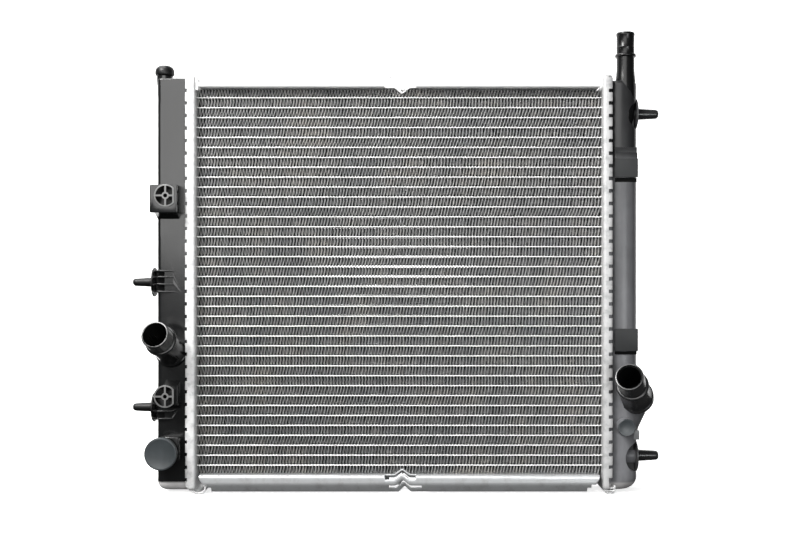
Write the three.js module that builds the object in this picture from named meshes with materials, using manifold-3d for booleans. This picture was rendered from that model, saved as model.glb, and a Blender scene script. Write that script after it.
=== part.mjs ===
// Crossflow car radiator: a brazed aluminium core of flat tubes and corrugated
// fins, an aluminium header plate at each side, a moulded plastic tank crimped
// into each header over a rubber gasket, two side plates, and a bleed screw.
//
// Axes: X runs along the tubes, Y is the airflow direction (-Y is the side the
// hose necks stand out of), Z is up. Millimetres.
// The pieces are laid out about the middle of the core in X and Y, with the
// lowest point of the header feet at Z = 0, and the outer group then moves
// the origin to the middle of the bounding box's bottom.

import * as THREE from 'three';
import { mergeVertices } from 'three/addons/utils/BufferGeometryUtils.js';
import Module from 'manifold-3d';

const wasm = await Module();
wasm.setup();

// ---------------------------------------------------------------- dimensions
const GAP = 0.3; // clearance between pieces that touch in the real object

// core
const TUBE_COUNT = 38;
const TUBE_PITCH = 9.5;
const TUBE_TOP_Z = 377.8; // middle of the highest tube
const TUBE_THICK = 1.7;
const TUBE_DEPTH = 26;
const TUBE_WALL = 0.3;
const TUBE_HALF_LEN = 196.3;
const FIN_DEPTH = 24.4;
const FIN_HALF_LEN = 192.6;
const FIN_SHEET = 0.43;
const FIN_WAVES = 6; // coarse stand-in for the real, much finer corrugation

// headers: a tray per side, open away from the core
const HEADER_IN = 193.4; // core side face of the tube plate, from the middle
const HEADER_SHEET = 1.5;
const HEADER_OUT = 204.0; // outer face of the crimped lip
const HEADER_HALF_DEPTH = 22.5;
const HEADER_TOP = 398.7;
const HEADER_BOTTOM = 3.4;

// tanks
const TANK_FOOT_IN = 198.4;
const TANK_FOOT_OUT = 202.1;
const TANK_FOOT_HALF_DEPTH = 20.6;
const TANK_HALF_DEPTH = 17.5;
const TANK_WALL = 2.5;
const TANK_L_OUT = 230.4;
const TANK_R_OUT = 228.2;
const TANK_L_TOP = 395.1;
const TANK_R_TOP = 393.4;
const TANK_BOTTOM = 5.4;

// locating pins
const PIN_L = { base: 237.6, tip: 257.6, rBase: 4.4, rTip: 3.1, disc: 14.0 };
const PIN_R = { base: 228.6, tip: 250.4, rBase: 5.5, rTip: 4.0, disc: 15.2 };
const PIN_L_Z = [201.2, 80.4];
const PIN_R_Z = [363.7, 33.7];

// hose necks: mouth centre, unit axis out of the mouth, length back to the tank
const NECK_R = 13.0;
const NECK_BORE = 11.0;
const NECK_BEAD = 15.0;
const NECK_L = { mouth: [-223.4, -58.0, 154.3], axis: [-0.13, -0.91, 0.39], length: 46, bead: 17 };
const NECK_RT = { mouth: [210.0, -58.0, 115.7], axis: [-0.31, -0.84, 0.445], length: 50, bead: 23 };

// small vertical hose spigot on top of the right tank
const SPIGOT = { x: 218.3, y: -6, top: 441.2, r: 8.1, bore: 6.0, bead: 9.9, beadZ: 419 };

// bleed screw on top of the left tank
const BLEED = { x: -225.6, y: -6, seatZ: 399.6, bossR: 7.6, boreR: 4.3, shankR: 3.95, headR: 9.1, headTop: 409.6 };

// side plates
const PLATE_SHEET = 1.2;
const PLATE_HALF_DEPTH = 20.3;

// the bounding box's bottom middle, in the core frame
const ORIGIN_X = -3.6;
const ORIGIN_Y = -21.13;

// ------------------------------------------------------------------- helpers
const solid = (geometry) => {
  const g = geometry.clone();
  g.deleteAttribute('normal');
  g.deleteAttribute('uv');
  const m = mergeVertices(g, 1e-4);
  return new wasm.Manifold(new wasm.Mesh({
    numProp: 3,
    vertProperties: new Float32Array(m.attributes.position.array),
    triVerts: new Uint32Array(m.index.array),
  }));
};

const geometryOf = (manifold) => {
  const m = manifold.getMesh();
  const g = new THREE.BufferGeometry();
  g.setAttribute('position', new THREE.BufferAttribute(new Float32Array(m.vertProperties), 3));
  g.setIndex(new THREE.BufferAttribute(new Uint32Array(m.triVerts), 1));
  g.computeVertexNormals();
  return g;
};

const box = (x0, x1, y0, y1, z0, z1) => {
  const g = new THREE.BoxGeometry(Math.abs(x1 - x0), Math.abs(y1 - y0), Math.abs(z1 - z0));
  g.translate((x0 + x1) / 2, (y0 + y1) / 2, (z0 + z1) / 2);
  return solid(g);
};

// a polygon of [a, b] pairs, counter-clockwise or not, extruded along an axis
const prism = (points, axis, from, to) => {
  const shape = new THREE.Shape(points.map(([a, b]) => new THREE.Vector2(a, b)));
  const g = new THREE.ExtrudeGeometry(shape, { depth: to - from, bevelEnabled: false, steps: 1, curveSegments: 6 });
  g.translate(0, 0, from);
  const m = new THREE.Matrix4();
  if (axis === 'x') m.makeBasis(new THREE.Vector3(0, 1, 0), new THREE.Vector3(0, 0, 1), new THREE.Vector3(1, 0, 0)); // a = Y, b = Z
  if (axis === 'y') m.makeBasis(new THREE.Vector3(0, 0, 1), new THREE.Vector3(1, 0, 0), new THREE.Vector3(0, 1, 0)); // a = Z, b = X
  if (axis === 'z') m.identity(); // a = X, b = Y
  g.applyMatrix4(m);
  return solid(g);
};
const prismXZ = (points, y0, y1) => prism(points.map(([x, z]) => [z, x]), 'y', y0, y1);

// a body of revolution from [radius, distance] pairs along an axis from a point
const turned = (profile, origin, axis, segments = 20) => {
  const pts = profile.map(([r, d]) => new THREE.Vector2(r, d));
  const g = new THREE.LatheGeometry(pts, segments);
  const q = new THREE.Quaternion().setFromUnitVectors(new THREE.Vector3(0, 1, 0), new THREE.Vector3(...axis).normalize());
  g.applyQuaternion(q);
  g.translate(...origin);
  return solid(g);
};
const rod = (r, origin, axis, from, to, segments = 20) =>
  turned([[0, from], [r, from], [r, to], [0, to]], origin, axis, segments);

// rounded rectangle as [a, b] pairs; radii in the order low-low, high-low, high-high, low-high
const roundRect = (a0, a1, b0, b1, radii, n = 3) => {
  const out = [];
  const corners = [[a0, b0, 180], [a1, b0, 270], [a1, b1, 0], [a0, b1, 90]];
  corners.forEach(([a, b, start], i) => {
    const r = radii[i];
    if (r <= 0) { out.push([a, b]); return; }
    const ca = a + (a === a0 ? r : -r);
    const cb = b + (b === b0 ? r : -r);
    for (let k = 0; k <= n; k++) {
      const t = THREE.MathUtils.degToRad(start + (90 * k) / n);
      out.push([ca + r * Math.cos(t), cb + r * Math.sin(t)]);
    }
  });
  return out;
};

const arc = (cx, cy, r, from, to, n) => Array.from({ length: n + 1 }, (_, k) => {
  const t = THREE.MathUtils.degToRad(from + ((to - from) * k) / n);
  return [cx + r * Math.cos(t), cy + r * Math.sin(t)];
});

const along = (origin, axis, d) => {
  const a = new THREE.Vector3(...axis).normalize();
  return [origin[0] + a.x * d, origin[1] + a.y * d, origin[2] + a.z * d];
};

// --------------------------------------------------------------------- looks
const aluminium = () => new THREE.MeshStandardMaterial({ color: 0xdfe1e2, roughness: 0.38, metalness: 0.9 });
const finStock = () => new THREE.MeshStandardMaterial({ color: 0x9b9d9e, roughness: 0.5, metalness: 0.8 });
const nylon = () => new THREE.MeshStandardMaterial({ color: 0x232426, roughness: 0.5, metalness: 0 });
const rubber = () => new THREE.MeshStandardMaterial({ color: 0x111111, roughness: 0.8, metalness: 0 });

const radiator = new THREE.Group();
radiator.position.set(-ORIGIN_X, -ORIGIN_Y, 0);
const add = (name, geometry, material, parent = radiator) => {
  const mesh = new THREE.Mesh(geometry, material);
  mesh.name = name;
  parent.add(mesh);
  return mesh;
};

// ---------------------------------------------------------------------- core
// flat tube, six-sided section, open at both ends
const tubeSection = (half, thick) => {
  const t = thick / 2;
  return [[-half, 0], [-half + t, -t], [half - t, -t], [half, 0], [half - t, t], [-half + t, t]];
};
const tube = prism(tubeSection(TUBE_DEPTH / 2, TUBE_THICK), 'x', -TUBE_HALF_LEN, TUBE_HALF_LEN)
  .subtract(prism(tubeSection(TUBE_DEPTH / 2 - 1.6 * TUBE_WALL, TUBE_THICK - 2 * TUBE_WALL), 'x', -TUBE_HALF_LEN - 1, TUBE_HALF_LEN + 1));

// corrugated fin: a folded sheet between two heights
const finSheet = (low, high) => {
  const n = FIN_WAVES * 2;
  const half = FIN_SHEET / 2;
  const mid = Array.from({ length: n + 1 }, (_, i) => [
    -FIN_HALF_LEN + (2 * FIN_HALF_LEN * i) / n,
    i % 2 ? high - half : low + half,
  ]);
  const outline = [...mid.map(([x, z]) => [x, z - half]), ...mid.slice().reverse().map(([x, z]) => [x, z + half])];
  return prismXZ(outline, -FIN_DEPTH / 2, FIN_DEPTH / 2);
};
const finRoom = TUBE_PITCH - TUBE_THICK; // open height between two tubes
const rowGeometry = geometryOf(
  tube.add(finSheet(-TUBE_THICK / 2 - finRoom + GAP, -TUBE_THICK / 2 + 0.2)),
);
const core = new THREE.Group();
radiator.add(core);
for (let i = 0; i < TUBE_COUNT; i++) {
  const row = add(`tube_and_fin_${String(i + 1).padStart(2, '0')}`, rowGeometry, finStock(), core);
  row.position.z = TUBE_TOP_Z - i * TUBE_PITCH;
}
const coreTop = TUBE_TOP_Z + TUBE_THICK / 2 + finRoom;
const coreBottom = TUBE_TOP_Z - (TUBE_COUNT - 1) * TUBE_PITCH - TUBE_THICK / 2 - finRoom;
const topFin = add('top_fin', geometryOf(finSheet(0, finRoom - 2 * GAP)), finStock(), core);
topFin.position.z = TUBE_TOP_Z + TUBE_THICK / 2 + GAP;

// --------------------------------------------------------------- side plates
// folded channel that closes the core above and below: a web against the last
// fin, a front and a rear face, and a lip bent back towards the middle. Near
// the middle the faces are notched and the web is folded so that it can stretch.
const sidePlate = (webZ, dir, faceHeight, lipHeight, ends) => {
  const s = PLATE_SHEET;
  const h = PLATE_HALF_DEPTH;
  const P = (y, z) => [y, webZ + dir * z];
  const lipBack = 5.5;
  const outer = [P(-h + 1.2, 0), P(-h, 1.2), P(-h, faceHeight), P(-h + lipBack, faceHeight + lipHeight)];
  const inner = [P(-h + lipBack + s, faceHeight + lipHeight - s * 0.6), P(-h + s, faceHeight - 0.4), P(-h + s, s)];
  const mirror = (pts) => pts.map(([y, z]) => [-y, z]).reverse();
  let section = [...outer, ...inner, ...mirror(inner), ...mirror(outer)];
  if (dir < 0) section = section.reverse();
  const x = ends.half;
  let plate = prism(section, 'x', -x, x);
  // the lip is shorter than the face, and each end is cut away under the header
  const zOut = webZ + dir * (faceHeight + lipHeight + 2);
  const zFace = webZ + dir * (faceHeight - 0.4);
  const zIn = webZ + dir * 3.2;
  for (const side of [-1, 1]) {
    const cut = [[side * (x + 1), zOut], [side * ends.lip, zOut], [side * (ends.lip + 3.6), zFace], [side * (x - 3.2), zFace], [side * (x + 1), zIn]];
    plate = plate.subtract(prismXZ(cut, -h - 2, h + 2));
  }
  // stretch notch in the faces, and the raised fold across the web
  const nh = 13.4;
  const notch = [[-nh, webZ - dir * 1], [nh, webZ - dir * 1], [nh, webZ + dir * 6.2], [7, webZ + dir * 9.5], [2.2, webZ + dir * (faceHeight + 0.6)],
    [-2.2, webZ + dir * (faceHeight + 0.6)], [-7, webZ + dir * 9.5], [-nh, webZ + dir * 6.2]];
  const web = [[-nh - 1, webZ], [-nh - 1, webZ + dir * s], [-4.6, webZ + dir * s], [0, webZ + dir * (s + 4.4)], [4.6, webZ + dir * s],
    [nh + 1, webZ + dir * s], [nh + 1, webZ], [4.9, webZ], [0, webZ + dir * 4.6], [-4.9, webZ]];
  plate = plate.subtract(prismXZ(notch, -h - 2, h + 2));
  plate = plate.add(prismXZ(web, -h + 1.4, h - 1.4));
  // the lips are parted below the fold
  const gapHalf = 5.6;
  const part = [[-gapHalf, zOut], [-0.9, webZ + dir * (faceHeight - 0.2)], [0.9, webZ + dir * (faceHeight - 0.2)], [gapHalf, zOut]];
  for (const sgn of [-1, 1]) {
    const y0 = sgn > 0 ? h - 7.5 : -h - 2;
    plate = plate.subtract(prismXZ(part, y0, y0 + 9.5));
  }
  return plate;
};
const PLATE_ENDS = { half: 190.4, lip: 179.2 };
add('bottom_side_plate', geometryOf(sidePlate(coreBottom - GAP, -1, 7.6, 7.0, PLATE_ENDS)), aluminium());
add('top_side_plate', geometryOf(sidePlate(coreTop + GAP, 1, 6.6, 5.0, PLATE_ENDS)), aluminium());

// ------------------------------------------------------------------- headers
// side is -1 for the left header and 1 for the right one
const header = (side, lug) => {
  const X = (x) => side * x;
  const d = HEADER_HALF_DEPTH;
  const s = HEADER_SHEET;
  // silhouette from the front, with a rounded outer corner at each end
  const top = HEADER_TOP;
  const bot = HEADER_BOTTOM;
  const face = [[X(HEADER_IN), bot + 6], [X(HEADER_IN + 3.4), bot], [X(HEADER_IN + 5), bot], ...[0, 1, 2, 3].map((k) => {
    const t = (Math.PI / 2) * (k / 3);
    return [X(HEADER_OUT - 6 + 6 * Math.sin(t)), bot + 7 - 7 * Math.cos(t)];
  }), [X(HEADER_OUT), top - 3], [X(HEADER_OUT - 2), top], [X(HEADER_IN + 2.4), top], [X(HEADER_IN), top - 2.6]];
  let body = prismXZ(face, -d, d);
  body = body.intersect(prism(roundRect(-d, d, bot - 1, top + 1, [3, 3, 3, 3], 2), 'x', -260, 260));
  // foot: the end of the sheet folded into a U that the part stands on
  const [x0, x1, armIn, armOut] = lug; // low and high X, and the height of the arm at each
  const r = (x1 - x0) / 2;
  const cx = (x0 + x1) / 2;
  const zc = 6.2;
  const w = 1.8;
  const bottomArc = (rr, n) => Array.from({ length: n + 1 }, (_, k) => {
    const t = Math.PI + (Math.PI * k) / n;
    return [cx + rr * Math.cos(t), zc + (zc - (r - rr)) * Math.sin(t)];
  });
  const footLine = [[x0, armIn], ...bottomArc(r, 6), [x1, armOut], [x1 - w, armOut], ...bottomArc(r - w, 6).reverse(), [x0 + w, armIn]];
  const foot = prismXZ(footLine, -d + 2, d - 2).add(box(cx - 2.4, cx + 2.4, -d + 2, d - 2, 0, 1.6));
  body = body.add(foot.subtract(box(X(HEADER_OUT - 2), X(HEADER_OUT + 5), -TANK_HALF_DEPTH - 2 * GAP, TANK_HALF_DEPTH + 2 * GAP, TANK_BOTTOM - GAP, 20)));
  // the tray's hollow and the mouth that the crimped lip leaves
  body = body.subtract(box(X(HEADER_IN + s), X(HEADER_OUT - s), -d + s, d - s, bot + s, top - s));
  body = body.subtract(box(X(HEADER_OUT - s - 1), X(HEADER_OUT + 5), -TANK_HALF_DEPTH - 2 * GAP, TANK_HALF_DEPTH + 2 * GAP, TANK_BOTTOM - GAP, top + 3));
  // one slot for each tube
  const c = 0.3;
  for (let i = 0; i < TUBE_COUNT; i++) {
    const z = TUBE_TOP_Z - i * TUBE_PITCH;
    body = body.subtract(box(X(HEADER_IN - 2), X(HEADER_IN + s + 2), -TUBE_DEPTH / 2 - c, TUBE_DEPTH / 2 + c, z - TUBE_THICK / 2 - c, z + TUBE_THICK / 2 + c));
  }
  return body;
};
add('left_header', geometryOf(header(-1, [-197.4, -183.4, 11.5, 7.0])), aluminium());
add('right_header', geometryOf(header(1, [193.8, 205.4, 11.5, 8.0])), aluminium());

// ------------------------------------------------------------------- gaskets
const gasket = (side) => {
  const x0 = HEADER_IN + HEADER_SHEET + GAP;
  const x1 = TANK_FOOT_IN - GAP;
  const ring = box(side * x0, side * x1, -20.4, 20.4, HEADER_BOTTOM + 2.2, HEADER_TOP - 2.2)
    .subtract(box(side * (x0 - 1), side * (x1 + 1), -16.6, 16.6, HEADER_BOTTOM + 6, HEADER_TOP - 6));
  return ring;
};
add('left_tank_gasket', geometryOf(gasket(-1)), rubber());
add('right_tank_gasket', geometryOf(gasket(1)), rubber());

// --------------------------------------------------------------------- tanks
// outside and inside of a tank body: three silhouettes cut through each other
const tankBlock = (side, out, halfDepth, bottom, top, edgeR, endR, footIn, edgeN = 3) => {
  const y = prism(roundRect(Math.min(side * footIn, side * out), Math.max(side * footIn, side * out), -halfDepth, halfDepth,
    side < 0 ? [edgeR, 0, 0, edgeR] : [0, edgeR, edgeR, 0], edgeN), 'z', bottom, top);
  const sil = prismXZ(roundRect(Math.min(side * footIn, side * out), Math.max(side * footIn, side * out), bottom, top,
    side < 0 ? [endR, 0, 0, 2.5] : [0, endR, 2.5, 0], edgeN > 2 ? 3 : 1), -60, 60);
  const end = prism(roundRect(-halfDepth, halfDepth, bottom, top, [endR * 0.9, endR * 0.9, 3, 3], edgeN > 2 ? 3 : 1), 'x', -260, 260);
  return y.intersect(sil).intersect(end);
};

const tankShell = (side, out, top, edgeR, keep) => {
  const outside = tankBlock(side, out, TANK_HALF_DEPTH, TANK_BOTTOM, top, edgeR, 9, TANK_FOOT_IN);
  const foot = box(side * TANK_FOOT_IN, side * TANK_FOOT_OUT, -TANK_FOOT_HALF_DEPTH, TANK_FOOT_HALF_DEPTH, HEADER_BOTTOM + HEADER_SHEET + GAP, HEADER_TOP - HEADER_SHEET - GAP);
  let inside = tankBlock(side, out - TANK_WALL, TANK_HALF_DEPTH - TANK_WALL, TANK_BOTTOM + 4, top - TANK_WALL, Math.max(edgeR - TANK_WALL, 1), 7, TANK_FOOT_IN - 3, 2);
  for (const k of keep) inside = inside.subtract(k);
  return { body: outside.add(foot), inside };
};

// hose neck: outer form and bore
const neck = ({ mouth, axis, length, bead }, rBase, boreTo) => {
  const back = axis.map((v) => -v);
  const outer = turned([[0, 0], [NECK_R - 0.5, 0], [NECK_R, 0.8], [NECK_R, bead - 2], [NECK_BEAD, bead - 0.9], [NECK_BEAD, bead + 0.9], [NECK_R + 0.3, bead + 2],
    [NECK_R + 0.8, length - 16], [rBase, length], [rBase, length + 6], [0, length + 6]], mouth, back, 18);
  const bore = turned([[0, -2], [NECK_BORE, -2], [NECK_BORE, boreTo], [0, boreTo]], mouth, back, 18);
  return { outer, bore };
};

// the open-faced boss for the fan frame: a D-shaped ring, four spokes, a hub
const ringBossPockets = (cx, cz, r, flatX, frontY, depth) => {
  const disc = prismXZ(arc(cx, cz, r - 2, 0, 360, 16).slice(0, 16), frontY - 1, frontY + depth);
  const clip = box(cx - r, flatX - 1.8, frontY - 2, frontY + depth + 1, cz - r, cz + r);
  const hub = prismXZ(arc(cx, cz, 3.3, 0, 360, 8).slice(0, 8), frontY - 2, frontY + depth + 1);
  const spokeA = prismXZ([[cx - 14, cz - 0.8 + 5], [cx - 14, cz + 0.8 + 5], [cx + 14, cz + 0.8 - 5], [cx + 14, cz - 0.8 - 5]], frontY - 2, frontY + depth + 1);
  const spokeB = prismXZ([[cx - 0.8 - 5, cz - 14], [cx + 0.8 - 5, cz - 14], [cx + 0.8 + 5, cz + 14], [cx - 0.8 + 5, cz + 14]], frontY - 2, frontY + depth + 1);
  const hole = prismXZ(arc(cx, cz, 1.9, 0, 360, 8).slice(0, 8), frontY - 1, frontY + depth + 4);
  return disc.intersect(clip).subtract(hub).subtract(spokeA).subtract(spokeB).add(hole);
};

// left tank -------------------------------------------------------------
const boss1 = { x: -218.7, z: 282.9, r: 9.8, flat: -211.8, front: -34 };
const boss2 = { x: -219.2, z: 94.7, r: 10.3, flat: -211.4, front: -34 };
const blank = { x: -222.6, z: 41.4, r: 15.3, front: -39 };

const leftPinWeb = (z) => {
  // disc, pin and the four webs that carry them round the tank's edge
  const { base, tip, rBase, rTip, disc } = PIN_L;
  let s = rod(disc, [-base, 0, z], [1, 0, 0], 0, 1.6, 16);
  s = s.add(turned([[0, -1], [rBase, -1], [rBase * 0.97, 5], [rTip + 0.3, tip - base - 2], [rTip - 0.9, tip - base], [0, tip - base]], [-base, 0, z], [-1, 0, 0], 10));
  const web = [[-base + 1, -12.6], [-231, -19.4], [-219.5, -19.4], [-213, -16.4], [-213, 12], [-base + 1, 12]];
  for (const dz of [11.0, 5.2, -1.7, -8.8]) s = s.add(prism(web, 'z', z + dz - 0.8, z + dz + 0.8));
  return s;
};

const left = tankShell(-1, TANK_L_OUT, TANK_L_TOP, 5, [
  // solid material behind the bleed screw's boss
  rod(BLEED.bossR - 0.5, [BLEED.x, BLEED.y, 0], [0, 0, 1], 378, 400, 12),
]);
let leftTank = left.body;
leftTank = leftTank.add(prism([[boss1.front, 293.2], [boss1.front, 266.9], [-14, 259.6], [-14, 293.2]], 'x', -233.8, -208));
leftTank = leftTank.add(prismXZ(arc(boss2.x, boss2.z, boss2.r, 0, 360, 16).slice(0, 16), boss2.front, -14).intersect(box(-240, boss2.flat, -50, 0, 60, 130)));
leftTank = leftTank.add(prism([[boss2.front + 3, 104], [-14, 110], [-14, 80], [boss2.front + 3, 86]], 'x', -222, -208.5));
leftTank = leftTank.add(turned([[0, 0], [blank.r - 0.7, 0], [blank.r, 0.7], [blank.r, 4.5], [blank.r - 2.6, 5.5], [blank.r - 2.6, 26], [0, 26]], [blank.x, blank.front, blank.z], [0, 1, 0], 18)
  .intersect(box(-245, -205.2, -60, 16, 10, 70)));
for (const z of PIN_L_Z) leftTank = leftTank.add(leftPinWeb(z));
const neckL = neck(NECK_L, 14.6, NECK_L.length + 2);
leftTank = leftTank.add(neckL.outer.intersect(box(-245, -205.2, -80, 15, 90, 180)));
// bleed screw boss: stands up at the tank's outer top corner and tapers into its side
leftTank = leftTank.add(turned([[0, 372], [1.5, 372], [BLEED.bossR - 0.6, 388], [BLEED.bossR, 396], [BLEED.bossR, BLEED.seatZ], [0, BLEED.seatZ]], [BLEED.x, BLEED.y, 0], [0, 0, 1], 16));
leftTank = leftTank.subtract(left.inside).subtract(neckL.bore)
  .subtract(ringBossPockets(boss1.x, boss1.z, boss1.r, boss1.flat, boss1.front, 9))
  .subtract(ringBossPockets(boss2.x, boss2.z, boss2.r, boss2.flat, boss2.front, 9));
// bleed bore with a wider seat for the seal ring, open into the tank
leftTank = leftTank.subtract(rod(BLEED.boreR, [BLEED.x, BLEED.y, 0], [0, 0, 1], 370, 420, 14))
  .subtract(rod(6.1, [BLEED.x, BLEED.y, 0], [0, 0, 1], BLEED.seatZ - 2.3, 420, 14));
add('left_tank', geometryOf(leftTank), nylon());

// right tank ------------------------------------------------------------
const rightPin = (z) => {
  const { base, tip, rBase, rTip, disc } = PIN_R;
  let s = rod(disc, [base, 0, z], [-1, 0, 0], 0, 1.5, 16);
  s = s.add(rod(8.5, [base - 1, 0, z], [-1, 0, 0], 0, 10, 16));
  s = s.add(turned([[0, -1], [rBase, -1], [rBase * 0.97, 5], [rTip + 0.3, tip - base - 2.4], [rTip - 1.1, tip - base], [0, tip - base]], [base, 0, z], [1, 0, 0], 10));
  s = s.add(box(219, base - 1, 6, 13.5, z - 1, z + 1)).add(box(219, base - 1, -1, 1, z - 14.4, z + 14.4));
  return s;
};
const rightKeeps = PIN_R_Z.map((z) => box(212.2, 234, -20, -3.6, z - 17.5, z + 17.5));
const right = tankShell(1, TANK_R_OUT, TANK_R_TOP, 9.5, rightKeeps);
let rightTank = right.body;
const PAD_Y = -18.4;
rightTank = rightTank.add(box(204.6, TANK_R_OUT - 0.2, PAD_Y, -8, 301.2, 319.2)).add(box(204.6, TANK_R_OUT - 1, PAD_Y, -8, 135.8, 157.2));
rightTank = rightTank.add(prism([[PAD_Y + 0.1, 319.2], [PAD_Y + 0.9, 329.6], [-10, 330.5], [-10, 319.2]], 'x', 205, TANK_R_OUT - 0.6));
rightTank = rightTank.add(rod(8.1, [214.4, -27.5, 64.6], [0, 1, 0], 0, 14, 18));
rightTank = rightTank.add(box(222.5, 229.6, -13.5, -8, 51.0, 59.8));
const neckR = neck(NECK_RT, 15.4, NECK_RT.length + 2);
rightTank = rightTank.add(neckR.outer.intersect(box(205.2, 260, -80, 14, 40, 150)));
rightTank = rightTank.add(turned([[0, 340], [1, 340], [SPIGOT.r + 1.4, 372], [SPIGOT.r + 0.6, 398], [SPIGOT.r, 404], [SPIGOT.r, SPIGOT.beadZ - 1.8], [SPIGOT.bead, SPIGOT.beadZ - 0.7],
  [SPIGOT.bead, SPIGOT.beadZ + 0.7], [SPIGOT.r, SPIGOT.beadZ + 1.8], [SPIGOT.r, SPIGOT.top - 3], [SPIGOT.r + 0.4, SPIGOT.top - 1.6], [SPIGOT.r, SPIGOT.top], [0, SPIGOT.top]],
[SPIGOT.x, SPIGOT.y, 0], [0, 0, 1], 16).intersect(box(205.2, 240, -17.5, 20, 330, 460)));
// round hollow beside each pin, cut in the front edge
for (const z of PIN_R_Z) rightTank = rightTank.subtract(prismXZ(arc(230.5, z, 15, 0, 360, 20).slice(0, 20), -30, -5.6));
for (const z of PIN_R_Z) rightTank = rightTank.add(rightPin(z));
rightTank = rightTank.subtract(right.inside).subtract(neckR.bore);
// hook pockets under the two pads
rightTank = rightTank.subtract(box(206.6, 221.5, -30, -16.3, 295.6, 300.9)).subtract(box(206.6, 221.5, -30, -16.3, 132, 135.6));
rightTank = rightTank.subtract(rod(SPIGOT.bore, [SPIGOT.x, SPIGOT.y, 0], [0, 0, 1], 372, 460, 12));
add('right_tank', geometryOf(rightTank), nylon());

// --------------------------------------------------------------- bleed screw
const bleed = new THREE.Group();
bleed.position.set(BLEED.x, BLEED.y, BLEED.seatZ);
radiator.add(bleed);
// mushroom head, neck with a groove for the seal ring, plain shank where the thread runs
const headProfile = [[0, -17], [2.6, -17], [BLEED.shankR, -15.4], [BLEED.shankR, -2.5], [3.4, -2.2], [3.4, GAP], [BLEED.headR - 0.8, GAP], [BLEED.headR, 1.4], [BLEED.headR, 4.2],
  [BLEED.headR - 0.9, 6.6], [BLEED.headR - 3, 8.7], [BLEED.headR - 5.4, BLEED.headTop - BLEED.seatZ], [0, BLEED.headTop - BLEED.seatZ]];
let screw = turned(headProfile, [0, 0, 0], [0, 0, 1], 16);
screw = screw.subtract(box(-6.5, 6.5, -0.9, 0.9, 7.2, 14));
add('bleed_screw', geometryOf(screw), nylon(), bleed);
const sealMid = (5.8 + 3.65) / 2;
const sealR = (5.8 - 3.65) / 2;
const sealProfile = arc(sealMid, -1.0, sealR * 0.86, 0, 360, 6);
sealProfile[6] = sealProfile[0];
add('bleed_screw_seal', geometryOf(turned(sealProfile, [0, 0, 0], [0, 0, 1], 16)), rubber(), bleed);

export default radiator;
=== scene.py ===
import math
import random

import bpy
import numpy as np
from mathutils import Matrix, Vector


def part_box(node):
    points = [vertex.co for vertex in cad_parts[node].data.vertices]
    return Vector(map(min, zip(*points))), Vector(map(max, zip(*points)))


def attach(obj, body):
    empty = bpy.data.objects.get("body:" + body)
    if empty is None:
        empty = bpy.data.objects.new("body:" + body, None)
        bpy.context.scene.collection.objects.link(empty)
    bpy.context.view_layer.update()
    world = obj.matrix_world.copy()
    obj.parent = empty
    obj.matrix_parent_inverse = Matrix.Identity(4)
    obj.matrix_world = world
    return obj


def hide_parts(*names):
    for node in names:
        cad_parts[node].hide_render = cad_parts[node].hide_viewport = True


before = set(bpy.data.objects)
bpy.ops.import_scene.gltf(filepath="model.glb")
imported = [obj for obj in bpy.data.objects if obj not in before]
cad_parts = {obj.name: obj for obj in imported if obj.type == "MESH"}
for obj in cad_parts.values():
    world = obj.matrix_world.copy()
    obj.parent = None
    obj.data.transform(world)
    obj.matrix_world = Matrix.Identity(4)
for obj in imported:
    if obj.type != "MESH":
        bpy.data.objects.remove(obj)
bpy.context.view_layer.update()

MM = 0.001
# the middle of the core in X and Y: every length below is millimetres from there, with Z from the feet up
_lo, _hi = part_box("top_fin")
OX = (_lo.x + _hi.x) / 2 / MM
OY = (_lo.y + _hi.y) / 2 / MM

TUBES = 38
PITCH = 9.5
_lo, _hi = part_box("tube_and_fin_01")
TUBE_T = 1.7
TUBE_Z0 = _hi.z / MM - TUBE_T / 2
ROOM = PITCH - TUBE_T
FIN_HALF = 192.7
CORE_TOP = TUBE_Z0 + TUBE_T / 2 + ROOM
CORE_BOT = TUBE_Z0 - (TUBES - 1) * PITCH - TUBE_T / 2 - ROOM

collection = bpy.context.scene.collection


# ------------------------------------------------------------------ mesh tools
def obj_from(name, verts, faces, material=None, sharp=35.0, link=True):
    """An object from points in millimetres in the core frame."""
    v = np.asarray(verts, float).reshape(-1, 3)
    v = (v + np.array([OX, OY, 0.0])) * MM
    me = bpy.data.meshes.new(name)
    if isinstance(faces, np.ndarray):
        n = len(faces)
        me.vertices.add(len(v))
        me.vertices.foreach_set("co", v.astype(np.float32).ravel())
        me.loops.add(n * faces.shape[1])
        me.loops.foreach_set("vertex_index", faces.astype(np.int32).ravel())
        me.polygons.add(n)
        me.polygons.foreach_set("loop_start", np.arange(0, n * faces.shape[1], faces.shape[1], dtype=np.int32))
        me.update(calc_edges=True)
        me.validate()
    else:
        me.from_pydata([tuple(p) for p in v], [], [tuple(f) for f in faces])
        me.update()
    finish_mesh(me, sharp)
    if material:
        me.materials.append(material)
    ob = bpy.data.objects.new(name, me)
    if link:
        collection.objects.link(ob)
    return ob


def finish_mesh(me, sharp=35.0):
    me.shade_smooth()
    me.set_sharp_from_angle(angle=math.radians(sharp))


def rings(stations, closed_ends=True, closed_loop=False):
    """Quads through a list of rings with the same number of points; ends closed with one face each."""
    n = len(stations[0])
    verts = [p for ring in stations for p in ring]
    faces = []
    m = len(stations)
    for j in range(m if closed_loop else m - 1):
        a, b = j * n, ((j + 1) % m) * n
        for i in range(n):
            k = (i + 1) % n
            faces.append((a + i, a + k, b + k, b + i))
    if closed_ends and not closed_loop:
        faces.append(tuple(reversed(range(n))))
        faces.append(tuple(range((m - 1) * n, m * n)))
    return verts, faces


def outward(ob):
    """Turns a closed mesh's faces outward."""
    import bmesh
    bm = bmesh.new()
    bm.from_mesh(ob.data)
    bmesh.ops.recalc_face_normals(bm, faces=bm.faces)
    bm.to_mesh(ob.data)
    bm.free()
    return ob


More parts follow.
